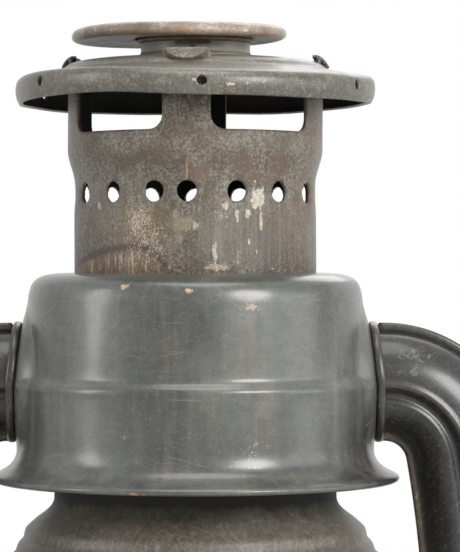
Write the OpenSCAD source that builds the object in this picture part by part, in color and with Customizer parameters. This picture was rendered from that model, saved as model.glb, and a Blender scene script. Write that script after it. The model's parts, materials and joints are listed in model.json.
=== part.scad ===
// Hurricane lantern: tank, side tubes, air chamber, lifting chimney, globe, burner and carrying bail.
// Millimetres. Origin at the centre of the base pan, +Z up, the front faces -Y.

/* [Sheet metal] */
// Thickness of the pressed sheet steel
sheet = 0.8; // [0.6:0.1:1.0]
// Gap between pieces that slide past each other
slide_gap = 0.4; // [0.3:0.05:0.6]
// Gap between pieces that rest on each other
seat_gap = 0.3; // [0.2:0.05:0.4]
// Radial clearance of pins and shafts in their holes
pin_gap = 0.06; // [0.03:0.01:0.1]
// Clearance of pieces that are joined for good
joint_gap = 0.05; // [0.02:0.01:0.1]

/* [Tank] */
// Height of the base pan
foot_h = 3; // [2:0.5:5]
// Outer radius of the base pan
foot_r = 46; // [40:1:49]
// Width of the base pan's rim
foot_w = 2; // [1.5:0.5:4]
// Thickness of the base pan
pan_t = 1.2; // [1:0.1:1.6]
// Outer radius of the tank wall
tank_r = 56; // [54:1:60]
// Height of the tank wall
tank_h = 38; // [32:1:46]
// Radius at the tank's lower edge
tank_edge_r = 6; // [3:0.5:6.5]
// Radius of the rolled seam round the tank
seam_r = 1.8; // [1.2:0.1:2.4]
// Depth of the tank lid below the seam
lid_drop = 5; // [4:0.5:8]

/* [Air dome] */
// Rise of the air dome over the tank wall
dome_h = 21; // [19:0.5:24]
// Radius of the air dome's flat top
dome_top_r = 30; // [28:0.5:32]
// Radius of the opening in the flat top
dome_hole_r = 19; // [18:0.5:20]

/* [Globe] */
// Height of the globe plate over the air dome
plate_rise = 6; // [5.5:0.5:8]
// Outer radius of the globe plate's dish
plate_r = 31; // [30:0.5:33]
// Height of the globe plate's turned-up rim
plate_rim = 4; // [2:0.5:6]
// Number of air holes in the globe plate
plate_holes = 20; // [12:1:24]
// Radius of an air hole in the globe plate
plate_hole_r = 1.5; // [1:0.1:1.8]
// Height of the glass globe
globe_h = 101.4; // [90:0.2:110]
// Outer radius at the globe's foot
globe_foot_r = 27; // [25:0.5:28]
// Outer radius at the globe's widest
globe_r = 42; // [40:0.5:43]
// Outer radius at the globe's mouth
globe_mouth_r = 34.5; // [34:0.5:35]
// Height of the globe's widest place over its foot, as a part of its height
globe_belly = 0.46; // [0.4:0.01:0.55]
// Wall of the glass
glass = 2; // [1.5:0.1:2.5]

/* [Hood and chamber] */
// Outer radius of the hood's neck
neck_r = 31; // [30:0.5:32]
// Height of the hood's neck over the globe's mouth
neck_h = 25.6; // [22:0.2:28]
// Outer radius of the hood's rim
hood_r = 41.2; // [40.5:0.1:42]
// Drop of the hood's rim below the globe's mouth
hood_drop = 12.2; // [10:0.2:16]
// Height of the chamber's lip over the globe's mouth
lip_rise = 9.9; // [9:0.1:12]
// Outer radius of the chamber's flared lip
lip_r = 44.8; // [44:0.1:47]
// Height of the chamber
chamber_h = 44.9; // [43:0.1:50]
// Outer radius of the chamber's lower wall
chamber_low_r = 38.9; // [38:0.1:40]
// Outer radius of the chamber's upper wall
chamber_up_r = 37.4; // [37:0.1:38]
// Height of the step between the walls over the lip
step_rise = 21.4; // [20:0.1:24]
// Shoulder radius at the chamber's top
shoulder_r = 4; // [3:0.5:5]
// Height of the chamber's floor over the lip
floor_rise = 9.4; // [9:0.1:11]

/* [Chimney] */
// Outer radius of the chimney tube
chimney_r = 26.5; // [26:0.1:27]
// Outer radius of the chimney's head
head_r = 28; // [27.5:0.1:28.3]
// Height of the row of air holes over the chamber
holes_rise = 17.2; // [14:0.1:20]
// Number of air holes in the row
hole_count = 16; // [12:1:20]
// Half the gap in the even row of holes at the front, in degrees; one hole stands in the gap
row_gap = 19.5; // [18:0.5:22]
// Radius of an air hole
hole_r = 2.25; // [1.5:0.05:2.6]
// Height of the head band over the chamber
head_rise = 27; // [24:0.5:29]
// Height of the windows' lower edge over the chamber
window_rise = 30.2; // [29.5:0.1:33]
// Width of the front and back posts between windows
post_w = 10.3; // [8:0.1:12]
// Width of the side posts between windows
side_post_w = 25.7; // [12:0.1:28]
// Turn of the posts, and of the single hole under the front post, about the axis
post_turn = -4; // [-10:1:10]
// Turns of the chimney spring
spring_turns = 6; // [5:1:7]
// Wire radius of the chimney spring
spring_wire_r = 0.9; // [0.7:0.1:1]

/* [Canopy and cap] */
// Height of the canopy's rim over the chamber
canopy_rise = 36.7; // [36:0.1:40]
// Outer radius of the canopy
canopy_r = 39.2; // [38:0.1:41]
// Number of small holes in the canopy's rim
rim_holes = 6; // [4:1:8]
// Radius of a small rim hole
rim_hole_r = 1.05; // [0.8:0.05:1.2]
// Outer radius of the cap collar
collar_r = 12; // [11:0.5:13]
// Height of the cap collar
collar_h = 3.2; // [2:0.1:4]
// Outer radius of the top cap
cap_r = 23.6; // [22:0.1:25]
// Height of the top cap
cap_h = 4.4; // [4:0.1:5]
// Sideways place of the top cap, knocked off centre
cap_shift = -3.6; // [-4:0.1:4]

/* [Side tubes] */
// Height of the tube's middle over the chamber's lip
tube_rise = 20.5; // [19:0.1:22]
// Distance of the bend's start from the lantern's axis
tube_start = 41.6; // [41.4:0.1:43]
// Radius of the upper bend at the tube's middle
bend_r = 17.5; // [17:0.1:20]
// Lean of the tube below the upper bend
lean_out = 10; // [8:0.5:12]
// Lean of the tube above the lower bend
lean_in = 12; // [10:0.5:14]
// Radius of the lower bend
foot_bend_r = 60; // [50:1:66]
// Half length of the tube's section, without its folds
lobe_a = 11; // [10.5:0.1:11.2]
// Half depth of the tube's section
lobe_b = 9; // [8:0.1:9.5]
// Reach of the outer fold from the tube's middle
fold_out = 13.4; // [13:0.1:14]
// Reach of the inner fold from the tube's middle
fold_in = 12.5; // [12:0.1:13]
// Half thickness of the folds
fold_t = 0.9; // [0.7:0.1:1.1]
// Width of the collar bead round the tube at the chamber
bead_w = 2; // [1.5:0.1:2.2]
// Height of the bead over the tube
bead_h = 2.2; // [1.6:0.1:2.4]

/* [Burner] */
// Outer radius of the burner body
burner_r = 17; // [16:0.5:17.5]
// Height of the wick shaft over the air dome
shaft_rise = 2.6; // [2.4:0.1:3]
// Radius of the wick shaft
shaft_r = 1.25; // [1:0.05:1.4]
// Direction of the wick knob about the axis
knob_turn = -55; // [-65:1:-50]
// Distance of the knob from the burner's axis
knob_reach = 59; // [58:0.5:64]
// Radius of the wick knob
knob_r = 8; // [6:0.5:9]
// Thickness of the wick knob
knob_w = 5; // [4:0.5:7]
// Number of grooves round the knob
knob_grooves = 20; // [12:1:24]
// Width of the wick
wick_w = 13; // [11:0.5:14]
// Thickness of the wick
wick_t = 2; // [1.6:0.1:2.4]
// Radius of the toothed wick wheels
wheel_r = 3.2; // [2.8:0.1:3.4]

/* [Filler] */
// Direction of the filler about the axis
filler_turn = -140; // [-145:1:-130]
// Outer radius of the filler neck
filler_r = 9; // [8:0.5:9.5]
// Height of the neck over the dome
filler_h = 7; // [6:0.5:8]
// Outer radius of the filler cap
filler_cap_r = 11; // [10.6:0.2:11.6]
// Gap between the filler cap's edge and the neck's flange
filler_cap_gap = 1.4; // [1:0.1:2]
// Thickness of the cap gasket
gasket_t = 1.2; // [0.8:0.1:1.6]

/* [Lift lever] */
// Length of the lever's short arm
arm_in = 13; // [12:0.5:14]
// Length of the lever's handle arm
arm_out = 21; // [18:0.5:22]
// Lean of the short arm at rest
arm_lean = 13; // [10:1:15]
// Thickness of the lever
lever_t = 3; // [2:0.25:4]
// Gap between the tube's side and the lever
lever_gap = 3; // [2:0.25:4]
// Radius of the lever's pin
lever_pin_r = 1.8; // [1.4:0.1:2]

/* [Wires] */
// Wire radius of the globe guard
guard_wire_r = 1.2; // [1:0.1:1.4]
// Ring radius of the inner guard wire
guard_r = 45.4; // [45:0.1:46]
// Height of the guard's crossing over the globe's foot
guard_rise = 49; // [44:0.5:54]
// Tilt of the guard wires
guard_tilt = 18; // [14:1:22]
// Wire radius of the bail
bail_wire_r = 1.6; // [1.3:0.1:2]
// Drop of the bail's pivots below the chamber's lip
ear_drop = 2; // [1:0.5:6]
// Room between the bail and the tubes
bail_room = 2.2; // [1.8:0.1:4]

/* [Hidden] */
$fn = 96;

// Paint and metal colours
paint = "#5f625d";
paint_dark = "#4a4d4a";
paint_worn = "#6d675d";
steel = "#8a8a86";
brass = "#b08d4a";
glass_tint = "#cfe0dc";

// Overlength of cutters past a sheet
cut = 4;

// Heights of the stack from the table upwards
tank_top = foot_h + tank_h;
dome_top = tank_top + dome_h;
plate_z = dome_top + plate_rise;
globe_z = plate_z + sheet;
mouth_z = globe_z + globe_h;
lip_z = mouth_z + lip_rise;
chamber_top = lip_z + chamber_h;
lid_z = tank_top - lid_drop;
neck_top = mouth_z + neck_h;
canopy_z = chamber_top + canopy_rise;

// Air dome: the slope between its upright edge and its flat top
dome_edge_h = 2.5;
dome_edge_in = 2;
slope_low = [tank_r - dome_edge_in, tank_top + dome_edge_h];
slope_high = [dome_top_r, dome_top];
slope_mid = (slope_low + slope_high) / 2;
slope_angle = atan2(slope_high[1] - slope_low[1], slope_low[0] - slope_high[0]);

// Side tube: upper bend, long bow, lower bend and a straight end that meets the dome's slope squarely
tube_z = lip_z + tube_rise;
bend_c = [tube_start, tube_z - bend_r];
bow_top = bend_c + bend_r * turn_dir(lean_out);
foot_bend_step = foot_bend_r * (turn_dir(-slope_angle) - turn_dir(-lean_in));
bow_dir = turn_dir(-lean_in) - turn_dir(lean_out);
end_dir = [-sin(slope_angle), -cos(slope_angle)];
tube_rest = slope_mid - bow_top - foot_bend_step;
solve_d = bow_dir[0] * end_dir[1] - bow_dir[1] * end_dir[0];
bow_r = (tube_rest[0] * end_dir[1] - tube_rest[1] * end_dir[0]) / solve_d;
bow_c = bow_top - bow_r * turn_dir(lean_out);
bow_end = bow_c + bow_r * turn_dir(-lean_in);
foot_bend_c = bow_end - foot_bend_r * turn_dir(-lean_in);
foot_bend_end = foot_bend_c + foot_bend_r * turn_dir(-slope_angle);
stub_len = 4.6;
collar_x = tube_start - bead_w - seat_gap;

// Middle of the tube's section between its folds, and the groove pressed beside its ridge
lobe_mid = (fold_out - fold_in) / 2;
groove_u = -2.4;
groove_w = 1.5;
groove_d = 0.12;

// Burner and wick
shaft_z = dome_top + shaft_rise;
burner_sink = 6;
burner_over = 6;
burner_floor = dome_top - burner_sink;
burner_flange_r = 21;
burner_top = plate_z + burner_over;
cone_h = 12;
wick_tube_t = 0.8;
wick_tube_drop = 12;
shaft_off = wick_t / 2 + wheel_r + 0.2;
wheel_w = 1.5;
wheel_place = 3.5;
burner_neck_r = 14;
burner_neck_t = 1.2;
bracket_r = 26;

// Lift lever: the round tip of its short arm lies under the globe plate's ear
tip_r = 2;
hub_r = 4.2;
handle_r = 3.4;
tip_z = plate_z - seat_gap - tip_r;
pivot_z = tip_z + arm_in * sin(arm_lean);
pivot_x = foot_bend_c[0] + sqrt(pow(foot_bend_r + lobe_mid, 2) - pow(pivot_z - foot_bend_c[1], 2));
lever_y = -(lobe_b + lever_gap);
ear_w = 8;
plate_lip_h = 5;
plate_edge_r = 1;
ear_x = pivot_x - arm_in * cos(arm_lean) + tip_r + 1;
ear_y = lever_y - lever_t / 2;

// Bail and its ears
ear_z = lip_z - ear_drop;
ear_plate_t = 1.5;
ear_plate_r = 5.5;
bail_x = tube_lip_x(bow_c[1]) + bail_room + bail_wire_r;
bail_reach_y = tank_r + seam_r + bail_wire_r + seat_gap;
bail_drop_z = ear_z - tank_top;
bail_len = norm([bail_reach_y, bail_drop_z]);
bail_lean = atan2(bail_reach_y, bail_drop_z);
bail_pin_r = 1.5;
ear_plate_x = tube_lip_x(ear_z) + 2.2;

// Filler neck stands square on the dome's slope and reaches down to the tank's lid
filler_floor = -24;
filler_flange = 2;
filler_flange_h = 0.8;
filler_wall = 1.5 * sheet;

// Unit vector at an angle from +X towards +Z in the plane of the tubes
function turn_dir(a) = [cos(a), sin(a)];
// Points of an arc from angle a0 to a1
function arc(c, r, a0, a1, n = 8) = [for (i = [0 : n]) c + r * turn_dir(a0 + (a1 - a0) * i / n)];
// Unit normal to the left of the way from p to q
function left_of(p, q) = [p[1] - q[1], q[0] - p[0]] / norm(q - p);
// Mitred step of path point i, t to the left of the path
function mitre(path, i, t) =
    let (last = len(path) - 1,
         n0 = i == 0 ? left_of(path[0], path[1]) : left_of(path[i - 1], path[i]),
         n1 = i == last ? n0 : left_of(path[i], path[i + 1]))
    t * (n0 + n1) / (1 + n0 * n1);
// Closed outline of a sheet of thickness t that lies to the left of a path
function sheet_outline(path, t) =
    concat(path, [for (i = [len(path) - 1 : -1 : 0]) path[i] + mitre(path, i, t)]);
// Ellipse as a list of points
function ellipse(a, b, n = 40) = [for (i = [0 : n - 1]) [a * cos(360 * i / n), b * sin(360 * i / n)]];
// Half depth of the side tube's section at the distance u from its middle
function lobe_v(u) =
    let (s = (u - lobe_mid) / lobe_a, dip = (u - groove_u) / groove_w)
    lobe_b * sqrt(max(0, 1 - s * s)) * (1 - groove_d * exp(-dip * dip));
// Middle of the long bow at the height z
function bow_x(z) = bow_c[0] + sqrt(bow_r * bow_r - pow(z - bow_c[1], 2));
// Outer and inner edge of the side tube at the height z
function tube_lip_x(z) = bow_x(z) + fold_out;
function tube_inner_x(z) = bow_x(z) - fold_in;

module sheet_ring(path, t = sheet) {
    rotate_extrude() polygon(sheet_outline(path, t));
}

// Paths of the pressed shells run from their lower edge to the top or the axis, along the outside
chamber_wall_top = chamber_top - shoulder_r - 3;
chamber_path = concat(
    [[lip_r - 0.6, lip_z], [lip_r, lip_z + 0.5], [lip_r, lip_z + 1.1],
     [lip_r - 1.9, lip_z + 2], [chamber_low_r + 1.7, lip_z + 3.3], [chamber_low_r + 0.5, lip_z + 4.6],
     [chamber_low_r, lip_z + 6.4], [chamber_low_r, lip_z + step_rise - 1.2],
     [chamber_low_r - 0.5, lip_z + step_rise - 0.3], [chamber_up_r + 0.2, lip_z + step_rise + 0.6],
     [chamber_up_r, lip_z + step_rise + 1.4], [chamber_up_r - 0.3, chamber_wall_top]],
    arc([chamber_up_r - 0.3 - shoulder_r, chamber_top - shoulder_r - 0.6], shoulder_r, 12, 84, 6),
    [[chimney_r + slide_gap, chamber_top]]);
hood_z = mouth_z - seat_gap;
hood_path = [
    [hood_r, hood_z - hood_drop], [hood_r, hood_z - 8], [hood_r - 0.4, hood_z - 6.9],
    [hood_r - 1.3, hood_z - 5.7], [hood_r - 2.5, hood_z - 4], [hood_r - 3.4, hood_z - 3.1],
    [hood_r - 3.7, hood_z - 2.2], [hood_r - 3.9, hood_z - 1.2], [hood_r - 4.6, hood_z],
    [neck_r + 4, hood_z + 1.35], [neck_r + 2.1, hood_z + 2.7], [neck_r + 0.7, hood_z + 4],
    [neck_r + 0.1, hood_z + 5.2], [neck_r, hood_z + 6.2], [neck_r, neck_top - 1],
    [neck_r - 1, neck_top], [chimney_r + joint_gap, neck_top]];
brim_h = 7.7;
dome_rise = 2.8;
post_over = 2.7;
dome_step = canopy_z + brim_h;
post_top = dome_step + post_over;
chimney_path = [
    [chimney_r, neck_top - 4], [chimney_r, chamber_top + holes_rise + hole_r + 0.5],
    [head_r, chamber_top + head_rise], [head_r, post_top]];
dome_foot_r = head_r + 1.4;
brim_r = canopy_r - 3;
collar_z = dome_step + dome_rise;
canopy_path = [
    [canopy_r - 0.6, canopy_z], [canopy_r - 0.1, canopy_z + 1.8], [canopy_r, canopy_z + 3.2],
    [canopy_r - 0.4, canopy_z + 4.6], [canopy_r - 1.4, canopy_z + 5.7], [brim_r, dome_step - 1.3],
    [(brim_r + 3 * dome_foot_r) / 4, dome_step - 0.4], [dome_foot_r, dome_step],
    [dome_foot_r - 0.6, dome_step + 0.5], [dome_foot_r - 1, dome_step + 0.4 * dome_rise],
    [dome_foot_r - 3.4, dome_step + 0.65 * dome_rise],
    [(dome_foot_r + collar_r) / 2, dome_step + 0.86 * dome_rise], [collar_r + 2.6, collar_z], [0, collar_z]];
cap_z = collar_z + collar_h;
cap_path = concat(
    [[cap_r - 2.2, cap_z]],
    arc([cap_r - 1.7, cap_z + 1.7], 1.7, -80, 70, 8),
    [[cap_r - 4, cap_z + cap_h - 0.6], [cap_r - 9, cap_z + cap_h], [0, cap_z + cap_h]]);
dome_path = [
    [tank_r, tank_top], [tank_r, tank_top + dome_edge_h - 1.2], [tank_r - 0.5, tank_top + dome_edge_h - 0.5],
    slope_low, slope_high, [dome_hole_r, dome_top]];
bowl_path = concat(
    [[0, foot_h], [tank_r - tank_edge_r, foot_h]],
    arc([tank_r - tank_edge_r, foot_h + tank_edge_r], tank_edge_r, -80, 0, 6),
    [[tank_r, tank_top]]);
globe_path = [for (i = [0 : 24])
    let (s = i / 24,
         low = s < globe_belly,
         k = low ? s / globe_belly : (s - globe_belly) / (1 - globe_belly),
         r_end = low ? globe_foot_r : globe_mouth_r,
         way = low ? 1 - k : k)
    [r_end + (globe_r - r_end) * (0.5 + 0.5 * cos(180 * way)), globe_z + globe_h * s]];

// Section of the side tube as points [u, v]; the folds stand out by the share f of their full reach
half_steps = 14;
root_low = lobe_mid - lobe_a;
root_high = lobe_mid + lobe_a;
fold_start = 0.04;
function outer_half(f) = concat(
    [[root_low - fold_start - f * (fold_in + root_low), fold_t], [root_low, fold_t]],
    [for (i = [1 : half_steps - 1])
        let (u = lobe_mid - lobe_a * cos(180 * i / half_steps)) [u, max(fold_t, lobe_v(u))]],
    [[root_high, fold_t], [root_high + fold_start + f * (fold_out - root_high), fold_t]]);
// The same points moved inwards by the sheet's thickness
function inner_half() = [for (p = outer_half(0))
    let (s = (lobe_a - sheet) / (lobe_a + 2 * fold_start))
    [lobe_mid + (p[0] - lobe_mid) * s, max(fold_t * 0.4, p[1] - sheet)]];
function both_halves(half) =
    concat(half, [for (i = [len(half) - 1 : -1 : 0]) [half[i][0], -half[i][1]]]);
function outer_section(f) = both_halves(outer_half(f));
function inner_section() = both_halves(inner_half());

// A section point [u, v] on a round stretch with the centre c and radius r, at the angle a
function on_arc(c, r, a, p) =
    [c[0] + (r + p[0]) * cos(a), p[1], c[1] + (r + p[0]) * sin(a)];
// Distance along the straight end from a section point to the dome's slope
slope_k = (slope_low[0] - slope_high[0]) / (slope_high[1] - slope_low[1]);
function to_slope(p) =
    let (x0 = p[0], z0 = p[2], s = sin(slope_angle), c = cos(slope_angle),
         wide = slope_low[0] - slope_k * (z0 - slope_low[1]),
         qa = s * s - pow(slope_k * c, 2),
         qb = -2 * (x0 * s + wide * slope_k * c),
         qc = x0 * x0 + p[1] * p[1] - wide * wide)
    (-qb - sqrt(qb * qb - 4 * qa * qc)) / (2 * qa);
function on_slope(p, gap) =
    let (t = to_slope(p) - gap) [p[0] + t * end_dir[0], p[1], p[2] + t * end_dir[1]];

// Rings of points down the right-hand side tube, from the chamber to the dome
bend_steps = 8;
bow_steps = 9;
foot_steps = 4;
foot_turn = lean_in - slope_angle;
function tube_rings(bare, full) = concat(
    [for (x = [tube_start - stub_len, tube_start]) [for (p = bare) [x, p[1], tube_z + p[0]]]],
    [for (i = [0.4, each [1 : bend_steps]])
        [for (p = full) on_arc(bend_c, bend_r, 90 + (lean_out - 90) * i / bend_steps, p)]],
    [for (i = [1 : bow_steps])
        [for (p = full) on_arc(bow_c, bow_r, lean_out - (lean_out + lean_in) * i / bow_steps, p)]],
    [for (i = [1 : foot_steps])
        [for (p = full) on_arc(foot_bend_c, foot_bend_r, foot_turn * i / foot_steps - lean_in, p)]],
    [[for (p = full) on_slope(on_arc(foot_bend_c, foot_bend_r, -slope_angle, p), joint_gap)]]);

module side_tube_right() {
    outer = tube_rings(outer_section(0), outer_section(1));
    inner = tube_rings(inner_section(), inner_section());
    n = len(outer[0]);
    rings = len(outer);
    base = n * rings;
    points = [for (set = [outer, inner], ring = set, p = ring) p];
    outside = [for (i = [0 : rings - 2], k = [0 : n - 1], half = [0, 1])
        let (a = i * n + k, b = i * n + (k + 1) % n)
        half == 0 ? [a, b, b + n] : [a, b + n, a + n]];
    inside = [for (f = outside) [base + f[0], base + f[2], base + f[1]]];
    ends = [for (i = [0, rings - 1], k = [0 : n - 1], half = [0, 1])
        let (a = i * n + k, b = i * n + (k + 1) % n,
             f = half == 0 ? [a, base + b, b] : [a, base + a, base + b])
        i == 0 ? f : [f[0], f[2], f[1]]];
    color(paint_dark) polyhedron(points, concat(outside, inside, ends));
}

// Section of the side tube as a flat shape, standing off it by the distance d
module tube_section(d) {
    polygon([for (p = outer_section(1)) [p[0] + d * sign(p[0]), p[1] + d * sign(p[1])]]);
}

// Oval round the side tube's lobe, standing off it by the distance d
module lobe_oval(d) {
    translate([lobe_mid, 0]) polygon(ellipse(lobe_a + d, lobe_b + d));
}

// Carries a flat shape along the side tube's straight end, through the dome's slope
module through_slope(back, on) {
    translate([slope_mid[0], 0, slope_mid[1]]) rotate([0, slope_angle, 0])
        translate([0, 0, -on]) linear_extrude(back + on) children();
}

// Everything inside the air dome's outer face
module dome_core() {
    rotate_extrude() polygon(concat([[0, foot_h]], [[tank_r, foot_h]], dome_path, [[0, dome_top]]));
}

module side_tube_left() {
    mirror([1, 0, 0]) side_tube_right();
}

module tube_collar_right() {
    color(paint_dark) translate([collar_x + bead_w, 0, tube_z]) rotate([0, -90, 0])
        difference() {
            union() {
                linear_extrude(bead_w) lobe_oval(bead_h - 0.5);
                translate([0, 0, 0.5]) linear_extrude(bead_w - 1) lobe_oval(bead_h);
            }
            translate([0, 0, -1]) linear_extrude(bead_w + 2) lobe_oval(slide_gap);
        }
}

module tube_collar_left() {
    mirror([1, 0, 0]) tube_collar_right();
}

// Saddle flange where the side tube stands on the air dome
module tube_foot_right() {
    rim = 1.6;
    lift = 1.4;
    reach = 6;
    color(paint_dark) difference() {
        intersection() {
            through_slope(reach, reach) translate([lobe_mid, 0])
                polygon(ellipse(lobe_a + bead_h + rim, lobe_b + rim));
            translate([0, 0, lift]) dome_core();
        }
        dome_core();
        through_slope(reach + 1, reach + 1) tube_section(joint_gap);
    }
}

module tube_foot_left() {
    mirror([1, 0, 0]) tube_foot_right();
}

// Flat pan under the tank with an upright rim
module base_pan() {
    color(paint_dark) rotate_extrude() polygon([
        [0, 0], [foot_r - 0.6, 0], [foot_r, 0.6], [foot_r, foot_h], [foot_r - foot_w, foot_h],
        [foot_r - foot_w, pan_t], [0, pan_t]]);
}

module tank_bowl() {
    color(paint) sheet_ring(bowl_path);
}

module tank_lid() {
    edge = tank_r - sheet - joint_gap;
    lid_path = [
        [burner_neck_r - burner_neck_t, lid_z], [edge - 1, lid_z], [edge, lid_z + 1], [edge, tank_top - 1]];
    color(steel) difference() {
        sheet_ring(lid_path);
        filler_axis() translate([0, 0, filler_floor - 8]) cylinder(r = filler_r - filler_wall, h = 40);
    }
}

module tank_seam() {
    color(paint) rotate_extrude() polygon(concat(
        [[tank_r + joint_gap, tank_top - seam_r]],
        arc([tank_r + joint_gap, tank_top], seam_r, -75, 75, 10),
        [[tank_r + joint_gap, tank_top + seam_r]]));
}

module air_dome() {
    color(paint) difference() {
        sheet_ring(dome_path);
        for (side = [0, 1]) mirror([side, 0, 0]) through_slope(6, 8) lobe_oval(-2 * sheet);
        filler_axis() translate([0, 0, -10]) cylinder(r = filler_r + joint_gap, h = 20);
    }
}

// Oval sleeves carry the side tubes into the chamber
module chamber_shell() {
    inner_r = chamber_low_r - sheet;
    color(paint) {
        difference() {
            sheet_ring(chamber_path);
            for (side = [0, 1]) mirror([side, 0, 0]) translate([tube_start, 0, tube_z]) rotate([0, -90, 0])
                linear_extrude(tube_start) lobe_oval(slide_gap);
        }
        for (side = [0, 1]) mirror([side, 0, 0]) difference() {
            translate([collar_x, 0, tube_z]) rotate([0, -90, 0]) linear_extrude(collar_x / 2) difference() {
                lobe_oval(slide_gap + sheet);
                lobe_oval(slide_gap);
            }
            cylinder(r = inner_r + sheet / 2, h = lip_z + step_rise);
            translate([0, 0, lip_z + step_rise - 1]) cylinder(r = chamber_up_r - sheet / 2, h = chamber_h);
        }
    }
}

module chamber_floor() {
    edge = chamber_low_r - sheet - joint_gap;
    floor_z = lip_z + floor_rise;
    color(paint_dark) sheet_ring([[edge, floor_z - 2.5], [edge, floor_z], [neck_r + slide_gap, floor_z]]);
}

// Coil spring between the hood's neck and the chamber's top, one six-sided tube
spring_low = neck_top + spring_wire_r + joint_gap;
spring_high = chamber_top - sheet - spring_wire_r - joint_gap;
spring_r = (chimney_r + neck_r) / 2;
curl_rings = 16;
spring_rings = spring_turns * curl_rings;
function spring_at(i) =
    let (a = 360 * i / curl_rings)
    [spring_r * cos(a), spring_r * sin(a), spring_low + (spring_high - spring_low) * i / spring_rings];
spring_steps = [for (i = [0 : spring_rings - curl_rings]) norm(spring_at(i + curl_rings) - spring_at(i))];
spring_gap = min(spring_steps) - 2 * spring_wire_r;
echo(spring_gap = spring_gap);

module chimney_spring() {
    sides = 6;
    points = [for (i = [0 : spring_rings], k = [0 : sides - 1])
        let (a = 360 * i / curl_rings, b = 360 * k / sides, c = spring_at(i))
        [c[0] + spring_wire_r * cos(b) * cos(a), c[1] + spring_wire_r * cos(b) * sin(a),
         c[2] + spring_wire_r * sin(b)]];
    walls = [for (i = [0 : spring_rings - 1], k = [0 : sides - 1], half = [0, 1])
        let (p = i * sides + k, q = i * sides + (k + 1) % sides)
        half == 0 ? [p, p + sides, q + sides] : [p, q + sides, q]];
    first = [for (k = [1 : sides - 2]) [0, k, k + 1]];
    base = spring_rings * sides;
    last = [for (k = [1 : sides - 2]) [base, base + k + 1, base + k]];
    color(steel) polyhedron(points, concat(walls, first, last));
}

// Turns of the air holes about the axis
row_step = (360 - 2 * row_gap) / (hole_count - 2);
hole_turns = concat([post_turn - 90], [for (i = [0 : hole_count - 2]) row_gap + i * row_step - 90]);

// Takes the wall away over a turn, from the height low upwards
module wall_cut(start, turn, low) {
    rotate([0, 0, start]) translate([0, 0, low]) rotate_extrude(angle = turn)
        translate([chimney_r - cut, 0]) square([head_r - chimney_r + 2 * cut, canopy_rise]);
}

// The side posts are wide up to a shelf under the canopy; above it all posts pass through the canopy's slots
module chimney_tube() {
    post_half = asin(post_w / 2 / head_r);
    side_half = asin(side_post_w / 2 / head_r);
    flank = side_half - post_half + 1;
    shelf_z = dome_step - 1.2;
    color(paint_worn) {
        difference() {
            sheet_ring(chimney_path);
            for (i = [0 : 3])
                wall_cut(post_turn + 90 * i + (i % 2 == 0 ? side_half : post_half),
                         90 - side_half - post_half, chamber_top + window_rise);
            for (i = [0, 2], start = [post_half, -post_half - flank])
                wall_cut(post_turn + 90 * i + start, flank, shelf_z);
            for (a = hole_turns) rotate([0, 0, a]) translate([chimney_r - cut, 0, chamber_top + holes_rise])
                rotate([0, 90, 0]) cylinder(r = hole_r, h = 2 * cut);
        }
        for (i = [0 : 3]) rotate([0, 0, post_turn + 90 * i]) post_tab();
    }
}

// Half-round tab at the top of a post, bent over the canopy's dome
module post_tab() {
    top = post_top;
    tab_turn = 2 * asin(post_w * 0.4 / head_r);
    path = [
        [head_r + 2, top - 1.6], [head_r + 1.2, top - 0.4], [head_r + 0.3, top], [head_r - sheet / 2, top]];
    intersection() {
        rotate([0, 0, -tab_turn / 2]) rotate_extrude(angle = tab_turn) polygon(sheet_outline(path, -sheet));
        translate([0, 0, top + sheet]) rotate([0, 90, 0]) cylinder(r = post_w * 0.4, h = head_r + 10);
    }
}

module globe_hood() {
    color(paint_worn) sheet_ring(hood_path);
}

module canopy() {
    slot_w = post_w + 2 * joint_gap + 0.2;
    rim_hole_z = 3.7;
    rim_turn = post_turn - 84;
    color(paint) difference() {
        sheet_ring(canopy_path);
        for (i = [0 : rim_holes - 1]) rotate([0, 0, rim_turn + 360 * i / rim_holes])
            translate([canopy_r - cut, 0, canopy_z + rim_hole_z]) rotate([0, 90, 0])
                cylinder(r = rim_hole_r, h = 2 * cut);
        for (i = [0 : 3]) rotate([0, 0, post_turn + 90 * i])
            translate([head_r - sheet - 0.6, -slot_w / 2, canopy_z + 5]) cube([sheet + 0.75, slot_w, 6]);
    }
}

// Collar under the top cap, with two half-round lugs bent out at the front
module cap_collar() {
    lug_r = 1.9;
    lug_place = 2;
    flange = 1.6;
    color(paint) {
        rotate_extrude() polygon([
            [collar_r - sheet, collar_z], [collar_r + flange, collar_z], [collar_r + flange, collar_z + 0.4],
            [collar_r, collar_z + 0.7], [collar_r, cap_z], [collar_r - sheet, cap_z]]);
        for (side = [-1, 1]) translate([side * lug_place, sheet / 2 - collar_r, cap_z]) rotate([90, 0, 0])
            linear_extrude(2 * sheet) polygon(arc([0, 0], lug_r, 180, 360, 12));
    }
}

// Domed cap on three studs over a round seat on the collar
module top_cap() {
    boss_r = collar_r + 1;
    color(paint_worn) translate([cap_shift, 0, 0]) {
        sheet_ring(cap_path);
        translate([-cap_shift, 0, cap_z]) cylinder(r = boss_r, h = sheet);
        for (i = [0 : 2]) rotate([0, 0, 90 + 120 * i]) translate([collar_r / 2, 0, cap_z + sheet / 2])
            cylinder(r = 2, h = cap_h - 1.5 * sheet);
    }
}

module globe() {
    color(glass_tint, 0.4) sheet_ring(globe_path, glass);
}

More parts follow.
